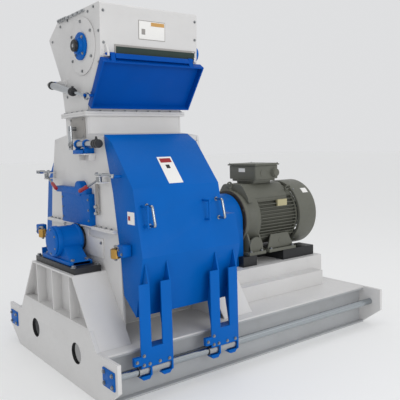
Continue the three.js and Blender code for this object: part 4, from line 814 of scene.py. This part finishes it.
# ---- motor ------------------------------------------------------------------
def motor():
    ax = lambda t: (t, 0, SHAFT_Z)
    s = Shape()
    s.turn(
        [
            (0, 46), (0, 60), (-6, 66), (-6, 120), (4, 150), (8, 205), (0, 212), (0, 230), (4, 236),
            (30, 236), (34, 230), (36, 222), (60, 228), (92, 246), (120, 256), (140, 258),
            (140, 170), (20, 150), (20, 46), (0, 46)
        ],
        ax(346), (1, 0, 0), 128
    )
    body = [(0, 170), (0, 228), (430, 228), (430, 170), (0, 170)]
    s.turn(body, ax(484), (1, 0, 0), 96)
    for sy in (-1, 1):
        for k in range(13):
            z = -160 + 27.5 * k
            r = 262 - 2 * (k % 2)
            y = math.sqrt(r * r - z * z)
            y0, y1 = sorted((sy * (y - 66), sy * y))
            s.box((484, 912), (y0, y1), (SHAFT_Z + z - 3.2, SHAFT_Z + z + 3.2))
    flank = [(204, 1040), (192, 1082), (158, 1132), (132, 1166), (112, 1180), (96, 1184)]
    s.prism(flank + [(-y, z) for y, z in reversed(flank)], 400, 842)
    crown = arc((0, SHAFT_Z), 262, 43, 137, 22)
    inner = arc((0, SHAFT_Z), 226, 137, 43, 22)
    s.prism(crown + inner, 484, 912)
    low = arc((0, SHAFT_Z), 250, 216, 324, 16) + arc((0, SHAFT_Z), 222, 324, 216, 16)
    s.prism(low, 484, 912)
    s.ring(ax(896), ax(912), 254, 180, 96)
    s.make("motor_body", MOTOR, "frame", bevel=1.2, replaces=["motor_stator"])
    feet()
    s = Shape()
    s.ring(ax(338), ax(346), 236, 200, 128, 2)
    for k in range(8):
        a = math.radians(22.5 + 45 * k)
        s.bolt((340, 224 * math.cos(a), SHAFT_Z + 224 * math.sin(a)), (-1, 0, 0), 9)
    s.make("shield_rim", UMBER, "frame")
    cowl = Shape()
    cowl.turn(
        [
            (0, 262), (0, 283), (4, 287), (196, 287), (210, 281), (217, 268), (217, 196),
            (214, 190), (214, 186), (211, 186), (211, 264), (204, 275), (190, 281), (6, 281),
            (6, 262), (0, 262)
        ],
        ax(913.7), (1, 0, 0), 128
    )
    for k in range(5):
        r = 46 + 34 * k
        cowl.turn(
            [(0, r - 5), (0, r + 5), (4, r + 5), (4, r - 5), (0, r - 5)], ax(1125), (1, 0, 0), 72
        )
    for k in range(8):
        a = math.radians(45 * k)
        p = [
            (1125, 30 * math.cos(a), SHAFT_Z + 30 * math.sin(a)),
            (1125, 192 * math.cos(a), SHAFT_Z + 192 * math.sin(a))
        ]
        cowl.tube(p, 3.5, 8)
    cowl.turn([(0, 0), (0, 40), (5, 40), (5, 0)], ax(1124), (1, 0, 0), 40)
    cowl.make("motor_fan_cowl", MOTOR, "frame", replaces=["motor_cowl"])
    s = Shape()
    for a in (48, 132, 228, 312):
        r = math.radians(a)
        d = Vector((0, math.cos(r), math.sin(r)))
        s.bolt(Vector(ax(930)) + d * 286.5, d, 7)
    s.make("cowl_bolts", ZINC, "frame")
    terminal_box()
    eyebolts()


def feet():
    s = Shape()
    for x0, x1 in ((338, 520), (560, 870)):
        for sy in (-1, 1):
            y0, y1 = sorted((sy * 188, sy * 275))
            s.box((x0, x1), (y0, y1), (616.3, 642))
    x0, x1 = 568, 862
    for sy in (-1, 1):
        face = [(x0 + 34, 762), (x1 - 60, 762), (x1, 650), (x1, 640), (x0, 640), (x0, 650)]
        y0, y1 = sorted((sy * 232, sy * 246))
        s.prism([(x, z) for x, z in face], y0, y1, "Y")
        s.box((x0, x1), tuple(sorted((sy * 150, sy * 262))), (628, 642))
    for sy in (-1, 1):
        for x in (362, 484):
            s.prism(
                [
                    (sy * 150, 642), (sy * 262, 642), (sy * 252, 700), (sy * 214, 790),
                    (sy * 150, 790)
                ],
                x, x + 18
            )
        y0, y1 = sorted((sy * 236, sy * 254))
        s.prism([(362, 640), (502, 640), (502, 690), *arc((432, 690), 70, 0, 180, 14)], y0, y1, "Y")
    s.make("motor_feet", MOTOR, "frame", bevel=3)
    s = Shape()
    for sy in (-1, 1):
        for x in (366, 482, 590, 842):
            s.bolt((x, sy * 258, 642), (0, 0, 1), 11)
    s.make("motor_foot_bolts", ZINC, "frame")
    s = Shape()
    s.turn([(0, 0), (0, 24), (2, 24), (2, 0)], (714, -246, 700), (0, -1, 0), 32)
    s.make("foot_eye", MOTOR, "frame")


def terminal_box():
    s = Shape()
    s.prism(rounded((512, 774), (-170, 170), 16), 1220, 1334, "Z")
    s.prism(rounded((520, 766), (-148, 148), 20), 1202, 1224, "Z")
    s.prism(rounded((500, 786), (-182, 182), 14), 1336, 1346, "Z")
    s.prism(rounded((506, 780), (-175, 175), 16), 1344, 1352, "Z")
    s.prism(rounded((540, 746), (-112, 112), 20), 1184.5, 1206, "Z")
    s.make(
        "terminal_housing", MOTOR, "frame", bevel=2.5, replaces=["terminal_box"]
    )
    s = Shape()
    s.turn(
        [(0, 0), (0, 40), (5, 42), (9, 38), (22, 37), (24, 31), (33, 31), (35, 24), (35, 0)],
        (724, -170, 1272), (0, -1, 0), 48
    )
    s.turn([(0, 0), (0, 33), (3, 33), (4, 28), (4, 0)], (600, -170, 1272), (0, -1, 0), 40)
    s.make("cable_gland", MOTOR, "frame")
    s = Shape()
    s.box((509.6, 511.6), (-40, 40), (1282, 1314))
    s.make("terminal_label", LABEL, "frame")
    s = Shape()
    for x, y in ((516, -165), (770, -165), (516, 165), (770, 165)):
        s.bolt((x, y, 1352), (0, 0, 1), 5, washer=False)
    s.make("terminal_screws", ZINC, "frame")
    s = Shape()
    s.box((690, 800), (-244, -222), (992, 1046))
    s.make("motor_plate", PLATE, "frame")
    s = Shape()
    a = math.radians(136)
    pts = [(286.8 * math.cos(a + t), SHAFT_Z + 286.8 * math.sin(a + t)) for t in (-0.09, 0, 0.09)]
    pts += [(288.0 * math.cos(a + t), SHAFT_Z + 288.0 * math.sin(a + t)) for t in (0.09, 0, -0.09)]
    s.prism(pts, 1020, 1085)
    s.make("cowl_sticker", LABEL, "frame")


def eyebolts():
    s = Shape()
    for x, a in ((372, 90), (868, 128)):
        r = math.radians(a)
        d = Vector((0, math.cos(r), math.sin(r)))
        base = Vector((x, 0, SHAFT_Z)) + d * (236 if x < 400 else 258)
        s.turn([(0, 0), (0, 20), (6, 20), (8, 12), (22, 12), (22, 0)], base, d, 24)
        centre = base + d * 42
        side = Vector((1, 0, 0))
        ring = [
            centre + 24 * (math.cos(t) * d + math.sin(t) * side)
            for t in [k * 2 * math.pi / 20 for k in range(20)]
        ]
        s.tube(ring + [ring[0], ring[1]], 7, 12, close=False)
    s.make("lifting_eyes", MOTOR, "frame")


def guard():
    hood = arc((0, SHAFT_Z), 212, 0, 180, 48)
    inner = arc((0, SHAFT_Z), 206, 180, 0, 48)
    s = Shape()
    s.prism([(212, 533.6), *hood, (-212, 533.6), (-206, 533.6), *inner, (206, 533.6)], 26.5, 324)
    s.prism([(212, 721.6), *hood, (-212, 721.6), (-206, 721.6), *inner, (206, 721.6)], -12, 26.5)
    s.prism([(212, 822), *hood, (-212, 822), (-206, 822), *inner, (206, 822)], -144, -12)
    s.make(
        "coupling_hood", BLUE, "frame", bevel=1.5, replaces=["coupling_guard"]
    )


# ---- studio -----------------------------------------------------------------
def studio():
    pale = bpy.data.materials.new("studio")
    pale.use_nodes = True
    bsdf = pale.node_tree.nodes["Principled BSDF"]
    grain = pale.node_tree.nodes.new("ShaderNodeTexNoise")
    grain.inputs["Scale"].default_value = 2.0
    tint = pale.node_tree.nodes.new("ShaderNodeMix")
    tint.data_type = "RGBA"
    tint.inputs["A"].default_value = (0.70, 0.70, 0.695, 1)
    tint.inputs["B"].default_value = (0.72, 0.72, 0.715, 1)
    pale.node_tree.links.new(grain.outputs["Fac"], tint.inputs["Factor"])
    pale.node_tree.links.new(tint.outputs["Result"], bsdf.inputs["Base Color"])
    bsdf.inputs["Roughness"].default_value = 0.9
    bsdf.inputs["Specular IOR Level"].default_value = 0.1
    bsdf.inputs["Emission Color"].default_value = (0.98, 0.99, 1.0, 1)
    bsdf.inputs["Emission Strength"].default_value = 0.2
    mesh = bpy.data.meshes.new("floor")
    w = 60.0
    mesh.from_pydata([(-w, -w, 0), (w, -w, 0), (w, w, 0), (-w, w, 0)], [], [(0, 1, 2, 3)])
    mesh.materials.append(pale)
    floor = bpy.data.objects.new("floor", mesh)
    scene.collection.objects.link(floor)
    world = bpy.data.worlds.new("studio")
    world.use_nodes = True
    world.node_tree.nodes["Background"].inputs["Color"].default_value = (0.735, 0.74, 0.75, 1)
    world.node_tree.nodes["Background"].inputs["Strength"].default_value = 1.0
    scene.view_settings.view_transform = "Standard"
    scene.world = world
    for name, place, size, power in (
        ("key", (-1.2, -7.0, 2.4), 3.0, 120),
        ("fill", (4.5, -5.0, 3.5), 3.0, 8),
        ("top", (0.0, 0.0, 6.0), 3.0, 40),
    ):
        data = bpy.data.lights.new(name, "AREA")
        data.size = size
        data.energy = power
        lamp = bpy.data.objects.new(name, data)
        lamp.location = place
        aim = Vector((0, 0, 1.0)) - Vector(place)
        lamp.rotation_mode = "QUATERNION"
        lamp.rotation_quaternion = aim.to_track_quat("-Z", "Y")
        scene.collection.objects.link(lamp)


rail_caps()
hole_shade_rings()
rails()
base_trim()
casing_trim()
bearings()
flap_actuator()
pan_actuator()
feeder()
doors()
latches()
motor()
guard()
studio()
